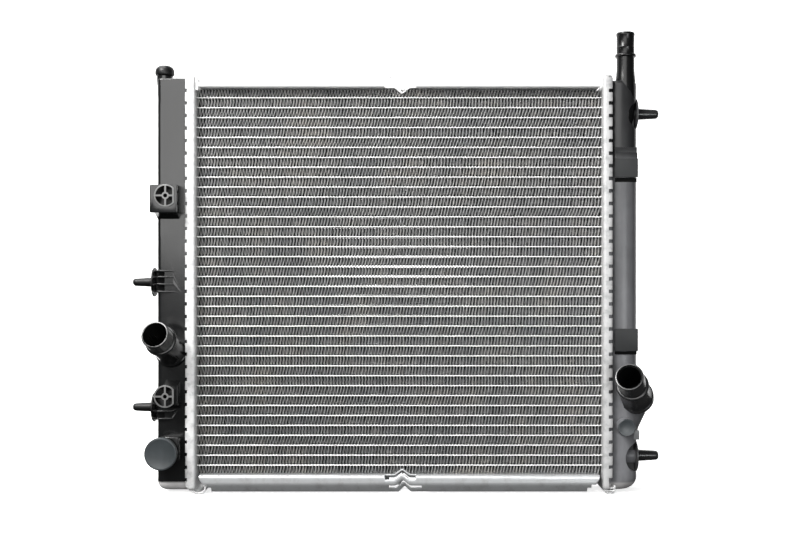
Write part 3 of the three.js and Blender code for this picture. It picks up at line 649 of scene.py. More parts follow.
def header_mesh(name, side, HEAD_OUT, tabs_at, trim):
    """A tray pressed from sheet: flat tube plate, walls all round, and the wall's edge cut into tabs that fold over the tank's foot."""
    t = 1.4
    tab_pitch = 11.9
    notch = 3.5
    corner = 4.0
    # path round the tray in (y, z), starting at the middle of the bottom end
    zmid = (HEAD_TOP + HEAD_BOT) / 2
    hy, hz = HEAD_D, (HEAD_TOP - HEAD_BOT) / 2

    def path(u):
        """Point and outward normal at distance u round the rounded rectangle, from the bottom middle towards -Y (front)."""
        sx, sz = hy - corner, hz - corner
        q = math.pi / 2 * corner
        lens = [sx, q, 2 * sz, q, 2 * sx, q, 2 * sz, q, sx]
        k = 0
        while k < 8 and u > lens[k]:
            u -= lens[k]
            k += 1
        if k == 0:
            return (-u, -hz), (0, -1)
        if k == 1:
            a = u / corner
            return (-sx - corner * math.sin(a), -sz - corner * math.cos(a)), (-math.sin(a), -math.cos(a))
        if k == 2:
            return (-hy, -sz + u), (-1, 0)
        if k == 3:
            a = u / corner
            return (-sx - corner * math.cos(a), sz + corner * math.sin(a)), (-math.cos(a), math.sin(a))
        if k == 4:
            return (-sx + u, hz), (0, 1)
        if k == 5:
            a = u / corner
            return (sx + corner * math.sin(a), sz + corner * math.cos(a)), (math.sin(a), math.cos(a))
        if k == 6:
            return (hy, sz - u), (1, 0)
        if k == 7:
            a = u / corner
            return (sx + corner * math.cos(a), -sz - corner * math.sin(a)), (math.cos(a), -math.sin(a))
        return (sx - u, -hz), (0, -1)

    sx, sz = hy - corner, hz - corner
    q = math.pi / 2 * corner
    total = 4 * sx + 4 * sz + 4 * q
    # stations: the long sides get one tab a pitch, placed from the first notch down
    side_len = 2 * sz
    cuts = []  # notch spans along u
    first = (HEAD_TOP - corner) - 383.2  # distance of the first notch below the top corner
    u_front0 = sx + q  # front side starts here, at the bottom
    u_front1 = u_front0 + side_len
    u_back0 = u_front1 + q + 2 * sx + q
    k = 0
    while True:
        dz = first + k * tab_pitch
        if dz > side_len - 4:
            break
        cuts.append((u_front1 - dz - notch / 2, u_front1 - dz + notch / 2))
        cuts.append((u_back0 + dz - notch / 2, u_back0 + dz + notch / 2))
        k += 1
    for c in (sx * 0.5, sx + 2 * q + side_len + sx * 0.5, sx + 2 * q + side_len + sx * 1.5, total - sx * 0.5):
        cuts.append((c - notch / 2, c + notch / 2))
    cuts.append((sx + q * 0.2, sx + q * 0.8))
    cuts.append((u_front1 + q * 0.2, u_front1 + q * 0.8))
    cuts.append((u_back0 - q * 0.8, u_back0 - q * 0.2))
    cuts.append((u_back0 + side_len + q * 0.2, u_back0 + side_len + q * 0.8))
    cuts.sort()
    us = [(0.0, False)]
    for a, b in cuts:
        # rounded notch shoulders: extra stations just outside and inside
        us += [(a - 0.7, False), (a, True), ((a + b) / 2, True), (b, False), (b + 0.7, False)]
    # fill the long gaps so corners stay round
    extra = []
    pts = sorted(us, key=lambda s: s[0])
    for (a, ia), (b, ib) in zip(pts, pts[1:] + [(total, False)]):
        gap = b - a
        steps = 1
        corner_zone = any(lo - 0.1 <= a <= hi + 0.1 or lo - 0.1 <= b <= hi + 0.1 or (a < lo and b > hi) for lo, hi in ((sx, sx + q), (u_front1, u_front1 + q), (u_back0 - q, u_back0), (total - sx - q, total - sx)))
        if corner_zone:
            steps = max(1, int(math.ceil(gap / 1.1)))
        elif gap > 6:
            steps = 2
        for s in range(1, steps):
            extra.append((a + gap * s / steps, ia))
    pts = sorted(pts + extra, key=lambda s: s[0])
    # the wall's profile from the tube plate outward: (inward offset from the wall's outer face, x)
    r = 2.6
    prof = []
    for k in range(5):
        a = math.pi / 2 * k / 4
        prof.append((r * (1 - math.sin(a)), HEAD_IN + r * (1 - math.cos(a))))
    n_plain_from = len(prof)
    prof.append((0.0, (HEAD_IN + r + tabs_at) / 2))
    prof.append((0.0, tabs_at))
    tab_from = len(prof) - 1
    rt = 1.5
    for k in range(1, 5):
        a = math.pi / 2 * k / 4
        prof.append((rt * (1 - math.cos(a)), HEAD_OUT - rt + rt * math.sin(a)))
    prof.append((3.4, HEAD_OUT - 0.1))
    prof.append((4.0, HEAD_OUT - 0.35))
    nprof = len(prof)
    verts, faces = [], []
    index = {}
    rnd = random.Random(7 if side < 0 else 8)
    tab_no = 0
    tab_shift = 0.0
    for j, (u, cut) in enumerate(pts):
        (py, pz), (ny, nz) = path(u % total)
        if cut and not pts[j - 1][1]:
            tab_shift = rnd.uniform(-0.28, 0.22)
        for i, (off, x) in enumerate(prof):
            xx = x + tab_shift * 0.6 if i > tab_from else x
            verts.append((side * xx, py - ny * off, zmid + pz - nz * off))
    m = len(pts)
    for j in range(m):
        j2 = (j + 1) % m
        for i in range(nprof - 1):
            if i >= tab_from and pts[j][1]:
                continue
            if i >= tab_from and any(a - 1e-6 <= pts[j][0] < b - 1e-6 for a, b in cuts):
                continue
            faces.append((j * nprof + i, j2 * nprof + i, j2 * nprof + i + 1, j * nprof + i + 1))
    # tube plate
    faces.append(tuple(j * nprof for j in range(m)))
    ob = obj_from(name, verts, faces, M_HEADER if side < 0 else M_HEADER_R_SHADED, sharp=40.0)
    outward_plate(ob, side)
    sol = ob.modifiers.new("sheet", "SOLIDIFY")
    sol.thickness = t * MM
    sol.offset = -1.0
    sol.use_even_offset = True
    apply_mods(ob)
    bev = ob.modifiers.new("edges", "BEVEL")
    bev.width = 0.28 * MM
    bev.segments = 2
    bev.limit_method = "ANGLE"
    bev.angle_limit = math.radians(50)
    apply_mods(ob)
    # the wall is cut back round the lower outer corner
    tool = slab(name + "_trim", [(side * a, b) for a, b in trim], "y", -30, 30, 0)
    before = len(ob.data.polygons)
    boolean(ob, [tool], "DIFFERENCE")
    assert len(ob.data.polygons) > before * 0.8, name
    finish_mesh(ob.data, 40.0)
    return ob


def outward_plate(ob, side):
    """Makes the open tray's outside the front of its faces."""
    import bmesh
    bm = bmesh.new()
    bm.from_mesh(ob.data)
    bmesh.ops.recalc_face_normals(bm, faces=bm.faces)
    big = max(bm.faces, key=lambda f: f.calc_area())
    if big.normal.x * side > 0:
        bmesh.ops.reverse_faces(bm, faces=bm.faces)
    bm.to_mesh(ob.data)
    bm.free()


def u_foot(name, x0, x1, arm0, arm1, ribs):
    """The end of the header sheet folded into a U."""
    r = (x1 - x0) / 2
    cx = (x0 + x1) / 2
    zc, w = 6.2, 1.7
    n = 14

    def bottom(rr):
        return [(cx + rr * math.cos(math.pi + math.pi * k / n), zc + (zc - (r - rr)) * math.sin(math.pi + math.pi * k / n)) for k in range(n + 1)]
    line = [(x0, arm0)] + bottom(r) + [(x1, arm1), (x1 - w * 0.5, arm1 + 0.5), (x1 - w, arm1)] + bottom(r - w)[::-1] + [(x0 + w, arm0)]
    foot = slab(name, line, "y", -HEAD_D + 2.0, HEAD_D - 2.0, bevel=0.35, material=M_HEADER)
    tools = []
    if ribs:
        for k, z in enumerate((2.8, 5.4)):
            tools.append(slab(name + f"_rib{k}", rect(x0 + 1.2, x1 - 0.6, z, z + 1.3, 0.3), "y", -HEAD_D + 1.6, HEAD_D - 1.6, bevel=0.3, material=M_HEADER))
    return boolean(foot, tools) if tools else foot


TRIM_L = [(198.8, -2.0), (198.8, 3.4), (199.8, 5.0), (202.2, 8.4), (203.2, 10.2), (203.6, 12.4), (208.0, 12.4), (208.0, -2.0)]
TRIM_R = [(196.6, -2.0), (196.6, 3.0), (197.8, 5.0), (198.6, 8.0), (198.8, 14.6), (208.0, 14.6), (208.0, -2.0)]
for side, name, outer, tabs_at, trim, foot in (
    (-1, "left_header", 203.2, HEAD_IN + 7.6, TRIM_L, (-197.4, -183.4, 8.5, 7.0, False)),
    (1, "right_header", 202.5, HEAD_IN + 5.1, TRIM_R, (193.8, 205.4, 8.5, 8.0, True)),
):
    ob = header_mesh(name + "_tray", side, outer, tabs_at, trim)
    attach(ob, "radiator")
    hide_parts(name)
    ft = u_foot(name + "_foot", *foot)
    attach(ft, "radiator")
    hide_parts(name)


lug = slab("left_header_corner_lug", [(-194.2, 383.9), (-191.0, 383.9), (-190.7, 385.2), (-190.8, 391.6), (-191.6, 395.2), (-193.2, 397.6), (-194.2, 398.2)], "y", -20.4, -15.0, bevel=0.5, material=M_HEADER)
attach(lug, "radiator")
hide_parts("left_header")


# ----------------------------------------------------------------- side plates
def side_plate(name, web_z, sgn, face_h, lip_h, mat, half=190.4, lip_half=179.2):
    """Folded channel, crimped in the middle into a small peak so that the core can grow, with relief cuts beside the peak."""
    h = 20.3
    back = 5.5
    t = 1.2
    # section (y, drop below the web, kind)
    face0, face1 = 1.2, 4.05
    slot0, slot1 = face_h + 1.3, face_h + 3.7

    def lip(zz):
        return h - back * (zz - face_h) / lip_h
    sec = []

    def half_section(sg):
        out = [(sg * h * f, 0.0, "web") for f in (0.0, 0.2, 0.4, 0.6)]
        out += [(sg * (h - 5.2), 0.0, "web"), (sg * (h - 3.4), 0.0, "rim"), (sg * (h - 2.0), 0.0, "rim")]
        out += [(sg * (h - 2.0 + 2.0 * math.sin(a)), 2.0 - 2.0 * math.cos(a), "rim") for a in (math.pi / 8, math.pi / 4, 3 * math.pi / 8)]
        out += [(sg * h, 2.0, "rim"), (sg * h, face1, "rim"), (sg * h, (face1 + face_h) / 2, "band"), (sg * h, face_h - 0.8, "band")]
        out += [(sg * (lip(face_h + 0.8) + 0.10), face_h + 0.35, "band"), (sg * lip(slot0), slot0, "band")]
        out += [(sg * lip(slot1), slot1, "slot"), (sg * lip((slot1 + face_h + lip_h) / 2), (slot1 + face_h + lip_h) / 2, "lip"), (sg * lip(face_h + lip_h), face_h + lip_h, "lip")]
        return out
    front = half_section(-1)
    rear = half_section(1)
    sec = list(reversed(front)) + rear[1:]
    n = len(sec)
    mid_face, mid_lip = 2.8, 5.2
    w_face, w_lip = 7.8, 6.0
    rise = 5.2

    def bump_at(x, zz):
        f = max(0.0, min(1.0, (zz - face_h) / lip_h))
        c = mid_face + (mid_lip - mid_face) * f
        w = w_face + (w_lip - w_face) * f
        a = abs(x - c)
        v = max(0.0, 1 - a / w)
        # rounded top and feet
        v = v * v * (3 - 2 * v) * 0.45 + v * 0.55
        return rise * v
    xs = {-half, half, -half + 1.2, half - 1.2, -half + 3.4, half - 3.4, -lip_half, lip_half, -lip_half - 3.6, lip_half + 3.6}
    xs |= {round(float(v), 2) for v in np.arange(-176, 177, 16) if abs(v) > 30}
    xs |= {round(float(v), 2) for v in np.arange(-7.0, 14.01, 0.75)}
    n0, n1 = -13.8, 16.0  # notch
    s0, s1 = -9.8, 21.3  # slot
    xs |= {n0 - 6, n0 - 1.0, n0, n0 + 1.2, n0 + 3.2, s0, s0 + 1.0, n1, n1 + 1.0, s1 - 1.0, s1, s1 + 5}
    xs = sorted(xs)
    verts = []
    for x in xs:
        for y, z, kd in sec:
            zz, yy = z, y
            if abs(x) > half - 3.4 and z > 2.0:
                e = (abs(x) - (half - 3.4)) / 3.4
                zz = min(z, face_h - (face_h - 3.0) * e)
                if z > face_h - 0.5:
                    yy = math.copysign(h, y)
            zz = zz - bump_at(x, z)
            verts.append((x, yy, web_z + sgn * zz))
    faces = []
    for j in range(len(xs) - 1):
        x0, x1 = xs[j], xs[j + 1]
        xm = (x0 + x1) / 2
        for i in range(n - 1):
            a, b = sec[i], sec[i + 1]
            kinds = {a[2], b[2]}
            zm = (a[1] + b[1]) / 2
            if n0 < xm < n1 and kinds <= {"rim"}:
                continue
            if n0 < xm < n1 and "rim" in kinds and "web" in kinds:
                continue
            if s0 < xm < s1 and a[1] >= slot0 - 1e-6 and b[1] >= slot0 - 1e-6 and "slot" in kinds and "band" in kinds:
                continue
            if zm > face_h + 0.6 and abs(xm) > lip_half + 3.6 * max(0.0, 1 - (zm - face_h) / lip_h):
                continue
            faces.append((j * n + i, (j + 1) * n + i, (j + 1) * n + i + 1, j * n + i + 1))
    ob = obj_from(name, verts, faces, mat, sharp=40.0)
    import bmesh
    bm = bmesh.new()
    bm.from_mesh(ob.data)
    bmesh.ops.delete(bm, geom=[v for v in bm.verts if not v.link_faces], context="VERTS")
    bmesh.ops.remove_doubles(bm, verts=bm.verts, dist=1e-6)
    bmesh.ops.recalc_face_normals(bm, faces=bm.faces)
    web = [f for f in bm.faces if abs(f.normal.z) > 0.9 and abs(f.calc_center_median().x / MM - OX) > 30]
    up = sum(f.normal.z for f in web) / max(len(web), 1)
    if up * sgn > 0:
        bmesh.ops.reverse_faces(bm, faces=bm.faces)
    bm.to_mesh(ob.data)
    bm.free()
    sol = ob.modifiers.new("sheet", "SOLIDIFY")
    sol.thickness = t * MM
    sol.offset = -1.0
    sol.use_even_offset = True
    apply_mods(ob)
    bev = ob.modifiers.new("edges", "BEVEL")
    bev.width = 0.2 * MM
    bev.segments = 2
    bev.limit_method = "ANGLE"
    bev.angle_limit = math.radians(50)
    apply_mods(ob)
    finish_mesh(ob.data, 40.0)
    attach(ob, "radiator")
    return ob


pl = side_plate("bottom_plate_sheet", CORE_BOT + 0.4, -1, 8.6, 7.8, M_PLATE)
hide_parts("bottom_side_plate")
pl = side_plate("top_plate_sheet", CORE_TOP + 0.3, 1, 6.6, 5.0, M_TOP_LIT)
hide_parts("top_side_plate")


# ----------------------------------------------------------------------- tanks
TANK_D = 17.5
FOOT_IN, FOOT_OUT = 198.4, 201.5


def tank_body(name, side, out, z0, z1, edge_r, end_r, top_r, half_d=TANK_D, x_in=FOOT_IN, wall=0.0):
    """Long moulded box with rounded outer edges and rounded ends."""
    nc = 8
    stations = []
    # (z, inset)
    zs = [(z0 + end_r * (1 - math.sin(math.pi / 2 * k / 8)), end_r * (1 - math.cos(math.pi / 2 * k / 8))) for k in range(8, -1, -1)]
    zs += [(z1 - top_r * (1 - math.sin(math.pi / 2 * k / 5)), top_r * (1 - math.cos(math.pi / 2 * k / 5))) for k in range(0, 6)]
    for z, ins in zs:
        d = half_d - ins * 0.9
        xo = out - ins
        r = max(min(edge_r, d - 0.5) - ins * 0.35, 1.2)
        ring = [(x_in, -d)]
        for k in range(nc + 1):
            a = -math.pi / 2 + math.pi / 2 * k / nc
            ring.append((xo - r + r * math.cos(a), -d + r + r * math.sin(a)))
        for k in range(nc + 1):
            a = math.pi / 2 * k / nc
            ring.append((xo - r + r * math.cos(a), d - r + r * math.sin(a)))
        ring.append((x_in, d))
        stations.append([(side * x, y, z) for x, y in ring])
    verts, faces = rings(stations)
    return outward(obj_from(name, verts, faces, M_TANK, 35.0))


def neck_profile(R, bead_r, bead_at, length, base_r, flare=7.0, deep=6.0):
    prof = [(R - 1.0, 0.0), (R - 0.45, 0.12), (R - 0.1, 0.55), (R, 1.1), (R, bead_at - 2.4)]
    for k in range(9):
        a = math.pi * k / 8
        prof.append((R + 0.15 + (bead_r - R - 0.15) * math.sin(a), bead_at - 1.7 * math.cos(a)))
    prof.append((R + 0.25, bead_at + 2.6))
    prof.append((R + 0.5, length - flare - 4))
    for k in range(7):
        a = math.pi / 2 * k / 6
        prof.append((base_r + 0.0 - (base_r - R - 0.7) * math.cos(a), length - flare + flare * math.sin(a)))
    prof.append((base_r, length + deep))
    return prof


def pockets(cx, cz, r, flat, y0, depth, name, shallow=0.35):
    """The four open pockets and the hole of a spoked ring boss, as one closed tool."""
    disc = slab(name, circle(cx, cz, r - 1.3, 48), "y", y0 - 1, y0 + depth, 0)
    clip = slab(name + "_clip", rect(cx - r, flat - 1.5, cz - r, cz + r), "y", y0 - 2, y0 + depth + 1, 0)
    boolean(disc, [clip], "INTERSECT")
    # the pockets on the outer half are shallower
    floor = slab(name + "_floor", rect(cx - r - 2, cx, cz - r - 2, cz + r + 2), "y", y0 + depth * shallow, y0 + depth + 3, 0)
    boolean(disc, [floor], "DIFFERENCE")
    hub = slab(name + "_hub", circle(cx, cz, 3.4, 28), "y", y0 - 3, y0 + depth + 2, 0)
    ang = 0.0
    spokes = []
    for k in range(2):
        a = ang + k * math.pi / 2
        u = Vector((math.cos(a), math.sin(a)))
        w = Vector((-u.y, u.x)) * 0.8
        c = Vector((cx, cz))
        q = [c - u * 14 - w, c + u * 14 - w, c + u * 14 + w, c - u * 14 + w]
        spokes.append(slab(name + f"_s{k}", [tuple(v) for v in q], "y", y0 - 3, y0 + depth + 2, 0))
    boolean(disc, [hub] + spokes, "DIFFERENCE")
    hole = slab(name + "_hole", circle(cx, cz, 1.9, 24), "y", y0 - 1, y0 + depth + 3, 0)
    return boolean(disc, [hole], "UNION")


def boss_ring(name, cx, cz, r, flat, y, deep=1.6):
    """The proud front edge of a spoked boss, coloured paler than the tank: ring, four spokes and hub."""
    th = math.acos((flat - cx) / r)
    outer = slab(name, [(cx + r * math.cos(a), cz + r * math.sin(a)) for a in np.linspace(th, 2 * math.pi - th, 56)], "y", y, y + deep, bevel=0.3, material=M_RING, bevel_hi=0.0)
    tool = pockets(cx, cz, r, flat, y, 15.0, name + "_p")
    boolean(outer, [tool], "DIFFERENCE")
    finish_mesh(outer.data, 32.0)
    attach(outer, "radiator")
    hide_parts("left_tank")
    return outer


def pin_profile(r0, r1, length):
    prof = [(r0 + 0.9, -1.2), (r0 + 0.7, 0.0), (r0 + 0.15, 0.9), (r0, 2.0)]
    prof += [(r0 + (r1 - r0) * f, 2.0 + (length - 5.2) * f) for f in (0.25, 0.5, 0.75, 1.0)]
    for k in range(1, 8):
        a = math.pi / 2 * k / 7
        prof.append((r1 - 2.3 + 2.3 * math.cos(a), length - 3.2 + 3.2 * math.sin(a)))
    return prof


def foot_ring(name, side, outer=FOOT_OUT):
    return slab(name, rect(-20.6, 20.6, HEAD_BOT + 1.8, HEAD_TOP - 1.8, 2.0), "x", *sorted((side * FOOT_IN, side * outer)), bevel=0.5, material=M_TANK)


def domed_body(name, section, z0, z1, x_in, low, top):
    """A long moulded body with a convex section, mirrored in Y, and elliptic ends given as (Z length, X inset, Y inset)."""
    out = section[-1][0]
    half_d = max(-y for _, y in section)
    ring0 = [(x_in, section[0][1])] + list(section) + [(x, -y) for x, y in reversed(section)] + [(x_in, -section[0][1])]
    rows = []
    for (rz, rx, ry), at, up in ((low, z0, 1), (top, z1, -1)):
        part = [(at + up * rz * (1 - math.sin(math.pi / 2 * k / 9)), rx * (1 - math.cos(math.pi / 2 * k / 9)), ry * (1 - math.cos(math.pi / 2 * k / 9))) for k in range(9, -1, -1)]
        rows += part if up > 0 else part[::-1]
    st = []
    for z, ix, iy in rows:
        fx = (out - ix - x_in) / (out - x_in)
        fy = (half_d - iy) / half_d
        st.append([(x_in + (x - x_in) * fx, y * fy, z) for x, y in ring0])
    verts, faces = rings(st)
    return outward(obj_from(name, verts, faces, M_TANK, 30.0))


# left tank
LEFT_OUT, RIGHT_OUT = 230.4, 228.2
body = tank_body("left_tank_moulding", -1, LEFT_OUT, 2.7, 395.8, 3.6, 9.5, 1.6)
adds = [foot_ring("lf", -1)]
# shallow steps in the face, as the mould's slides leave them
adds.append(slab("step1", rect(-227.2, -204.8, 244.5, 372.2, 1.0), "y", -TANK_D - 0.35, -10, bevel=0.0, material=M_TANK))
adds.append(slab("step2", rect(-220.4, -204.8, 30.0, 189.9, 1.2), "y", -TANK_D - 0.5, -10, bevel=0.0, material=M_TANK))
adds.append(slab("step3", rect(-227.8, -204.8, 12.2, 54.6, 1.0), "y", -TANK_D - 0.9, -10, bevel=0.0, material=M_TANK))
# square boss
B1 = dict(x=-218.9, z=282.9, r=10.6, flat=-210.7, y=-34.0)
sq = slab("sq", rect(-233.8, -208.0, 266.9, 293.2, 1.2), "y", B1["y"], -12, bevel=0.5, material=M_TANK)
wedge = slab("wg", [(-33.2, 268.0), (-13.0, 259.6), (-13.0, 275.0), (-33.2, 275.0)], "x", -230.0, -209.0, bevel=0.5, material=M_TANK)
th = math.acos((B1["flat"] - B1["x"]) / B1["r"])
ring1 = slab("ring1", [(B1["x"] + B1["r"] * math.cos(a), B1["z"] + B1["r"] * math.sin(a)) for a in np.linspace(th, 2 * math.pi - th, 48)], "y", B1["y"] - 0.3, -20, bevel=0.0, material=M_TANK)
adds += [sq, wedge, ring1]
# D-shaped boss lower down
B2 = dict(x=-219.2, z=94.7, r=10.6, flat=-211.0, y=-34.0)
th = math.acos((B2["flat"] - B2["x"]) / B2["r"])
dd = [(B2["x"] + B2["r"] * math.cos(a), B2["z"] + B2["r"] * math.sin(a)) for a in np.linspace(th, 2 * math.pi - th, 44)]
adds.append(slab("dboss", dd, "y", B2["y"], -12, bevel=0.4, material=M_TANK))
adds.append(slab("dback", [(-30.5, 104.0), (-30.5, 86.2), (-13.0, 80.0), (-13.0, 110.0)], "x", -222.0, -208.2, bevel=0.7, material=M_TANK))
# closed port
adds.append(lathe("port_root", [(14.0, 3.0), (14.6, 3.1), (15.0, 4.6), (14.8, 4.95), (13.2, 5.4), (12.9, 6.0), (12.9, 27.0)], (-222.6, -39.0, 41.4), (0, 1, 0), 64, M_TANK))
blank = lathe("port_blank", [(0.8, 0.35), (12.6, 0.35), (13.2, 0.1), (14.4, 0.0), (14.9, 0.15), (15.3, 0.7), (15.3, 4.4), (14.6, 4.8), (0.8, 4.8)], (-222.6, -39.0, 41.4), (0, 1, 0), 72, M_BLANK)
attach(blank, "radiator")
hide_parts("left_tank")
adds.append(slab("portback", rect(-221.5, -206.6, 33.0, 56.2, 2.5), "y", -30.5, -12, bevel=0.8, material=M_TANK))
# pins with their flange and webs
PIN_L = dict(base=237.6, tip=257.6)
for k, z in enumerate((201.2, 80.4)):
    level = ("upper", "lower")[k]
    for pc in (lathe(level + "_left_pin_flange", [(0.4, 0.0), (13.6, 0.0), (14.0, 0.3), (14.0, 1.3), (13.6, 1.6), (0.4, 1.6)], (-237.6, 0, z), (1, 0, 0), 56, M_PIN),
               lathe(level + "_left_pin", pin_profile(4.5, 3.7, 20.0), (-237.6, 0, z), (-1, 0, 0), 32, M_PIN)):
        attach(pc, "radiator")
        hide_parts("left_tank")
    web = [(-236.6, -12.8), (-231.5, -19.2), (-229.5, -20.0), (-219.5, -20.0), (-213.0, -16.6), (-213.0, 10.0), (-236.6, 12.0)]
    for j, dz in enumerate((11.0, 5.2, -1.7, -8.8)):
        adds.append(slab(f"lpw{k}{j}", web, "z", z + dz - 0.85, z + dz + 0.85, bevel=0.3, material=M_TANK))
    adds.append(slab(f"lpb{k}", rect(-236.4, -226.0, -2.0, 9.0, 1.0), "z", z - 8.6, z + 10.8, bevel=0.4, material=M_TANK))
# hose neck
NL = dict(m=(-223.4, -58.0, 154.3), a=(-0.13, -0.91, 0.39), L=46.0, bead=17.0)
adds.append(lathe("neckl", neck_profile(13.0, 15.0, NL["bead"], NL["L"], 15.6, 9.0), NL["m"], [-c for c in NL["a"]], 72, M_TANK))
# bleed screw boss
BS = dict(x=-225.6, y=-6.0, z=399.6)
prof = [(1.6, 370.0), (3.6, 376.0), (6.2, 385.0), (7.3, 391.0), (7.6, 394.6), (7.6, 399.0), (7.3, 399.45), (6.9, 399.6)]
adds.append(lathe("bsboss", prof, (BS["x"], BS["y"], 0), (0, 0, 1), 40, M_TANK))
boolean(body, adds, "UNION")
inner = tank_body("li", -1, LEFT_OUT - 2.5, 9.4, 392.6, 2.6, 7.0, 1.6, TANK_D - 2.5, FOOT_IN - 4)
cuts = [inner]
cuts.append(lathe("boreL", [(11.0, -2), (11.0, 48.0)], NL["m"], [-c for c in NL["a"]], 64))
cuts.append(lathe("chamL", [(11.9, -0.5), (11.0, 1.2)], NL["m"], [-c for c in NL["a"]], 64))
boolean(body, cuts, "DIFFERENCE")
keep = lathe("bsk", [(7.0, 380), (7.0, 399.0)], (BS["x"], BS["y"], 0), (0, 0, 1), 40, M_TANK)
boolean(body, [keep], "UNION")
cuts = [lathe("bsb", [(4.3, 366), (4.3, 420)], (BS["x"], BS["y"], 0), (0, 0, 1), 32), lathe("bss", [(6.1, BS["z"] - 2.3), (6.1, BS["z"] - 0.4), (6.5, BS["z"] + 0.2), (6.5, 420)], (BS["x"], BS["y"], 0), (0, 0, 1), 32)]
cuts.append(pockets(B1["x"], B1["z"], B1["r"], B1["flat"], B1["y"], 17, "p1", 1.0))
# shallow pockets between the webs behind each pin flange
for k, z in enumerate((201.2, 80.4)):
    for j, (d0, d1) in enumerate(((6.1, 10.1), (-0.8, 4.3), (-7.9, -2.6))):
        if k == 1 and j < 2:
            continue
        cuts.append(slab(f"wp{k}{j}", rect(-232.0, -223.3, z + d0, z + d1, 0.5), "y", -30.0, -14.0, 0))
        # a near-black sheet on each pocket's floor: painted shade
        deep = slab(("upper", "lower")[k] + f"_pin_pocket_{j + 1}", rect(-230.2, -223.4, z + d0 + 0.1, z + d1 - 0.1), "y", -14.6, -13.6, 0, material=M_SHADE_SHEET)
        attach(deep, "radiator")
        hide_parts("left_tank")
cuts.append(pockets(B2["x"], B2["z"], B2["r"], B2["flat"], B2["y"], 17, "p2", 1.0))
boolean(body, cuts, "DIFFERENCE")
finish_mesh(body.data, 32.0)
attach(body, "radiator")
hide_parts("left_tank")
boss_ring("upper_boss_edge", B1["x"], B1["z"], B1["r"], B1["flat"], B1["y"] - 1.0, 0.69)
boss_ring("lower_boss_edge", B2["x"], B2["z"], B2["r"], B2["flat"], B2["y"] - 0.8, 0.79)

# right tank
CONVEX = [(203.0, -14.4), (204.2, -15.3), (205.5, -16.0), (207.2, -16.65), (209.2, -17.15), (211.6, -17.45), (214.0, -17.5), (216.6, -17.3), (219.0, -16.8), (221.2, -16.0), (223.2, -14.9), (224.9, -13.4), (226.3, -11.4), (227.3, -9.2), (227.9, -6.8), (228.2, -3.6), (RIGHT_OUT, -0.6)]
body = domed_body("right_tank_moulding", CONVEX, 3.0, 393.8, FOOT_IN, (12.0, 13.0, 8.0), (3.0, 3.0, 2.5))
adds = [foot_ring("rf", 1, 200.8)]
body.data.materials.clear()
body.data.materials.append(M_TANK_R_PAINTED_LIGHT)
for k, (z0, z1) in enumerate(((301.2, 319.2), (135.8, 157.2))):
    adds.append(slab(f"pad{k}", rect(205.2, RIGHT_OUT - 1.6, z0 + 0.2, z1 - 0.2, 0.6), "y", -17.8, -8, bevel=0.3, material=M_TANK_R_PAINTED_LIGHT))
    pad = slab(("upper" if k == 0 else "lower") + "_fan_pad", rect(204.7, RIGHT_OUT - 1.1, z0, z1, 0.6), "y", -18.4, -17.9, bevel=0.3, material=M_PAD, bevel_hi=0.0)
    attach(pad, "radiator")
    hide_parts("right_tank")
adds.append(slab("padstep", rect(205.0, RIGHT_OUT - 1.6, 318.0, 325.0, 0.8), "y", -18.0, -8, bevel=0.3, material=M_TANK_R_PAINTED_LIGHT))
adds.append(slab("padstep2", rect(205.0, RIGHT_OUT - 2.0, 324.0, 330.0, 0.8), "y", -17.75, -8, bevel=0.2, material=M_TANK_R_PAINTED_LIGHT))
adds.append(lathe("rboss", [(7.3, 0.0), (7.9, 0.2), (8.1, 0.7), (8.1, 14.0)], (214.4, -27.5, 64.6), (0, 1, 0), 48, M_TANK_R_PAINTED_LIGHT))
small = lathe("small_port_blank", [(0.4, 0.3), (6.2, 0.3), (6.9, 0.0), (7.7, 0.0), (8.1, 0.4), (8.1, 1.3), (0.4, 1.3)], (214.4, -28.2, 64.6), (0, 1, 0), 56, M_BLANK)
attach(small, "radiator")
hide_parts("right_tank")
tab = slab("right_tank_tab", rect(222.5, 229.4, 51.0, 59.8, 0.8), "y", -14.2, -8, bevel=0.5, material=M_PALE)
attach(tab, "radiator")
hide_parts("right_tank")
NR = dict(m=(210.0, -58.0, 115.7), a=(-0.31, -0.84, 0.445), L=50.0, bead=23.0)
neck = lathe("neckr", neck_profile(13.0, 15.2, NR["bead"], NR["L"], 16.4, 12.0), NR["m"], [-c for c in NR["a"]], 72, M_NECK_R)
lim = slab("lim", rect(205.2, 262.0, 30, 160), "y", -80, 15, 0)
lim_front = slab("limf", rect(180.0, 262.0, 30, 160), "y", -80, -23.6, 0)
boolean(lim, [lim_front], "UNION")
boolean(neck, [lim], "INTERSECT")
boolean(neck, [lathe("boreN", [(11.0, -2), (11.0, 60.0)], NR["m"], [-c for c in NR["a"]], 64), lathe("chamN", [(11.9, -0.5), (11.0, 1.2)], NR["m"], [-c for c in NR["a"]], 64)], "DIFFERENCE")
finish_mesh(neck.data, 32.0)
neck.name = "right_hose_neck"
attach(neck, "radiator")
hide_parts("right_tank")
# a near-black lining of the bore, closed at its inner end by a near-black disc: painted shade
bore = lathe("right_hose_neck_bore_shade", [(0.6, 50.8), (10.5, 50.8), (10.5, 2.0), (11.05, 2.0), (11.05, 51.4), (0.6, 51.4)], NR["m"], [-c for c in NR["a"]], 64, M_SHADE_SHEET)
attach(bore, "radiator")
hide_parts("right_tank")
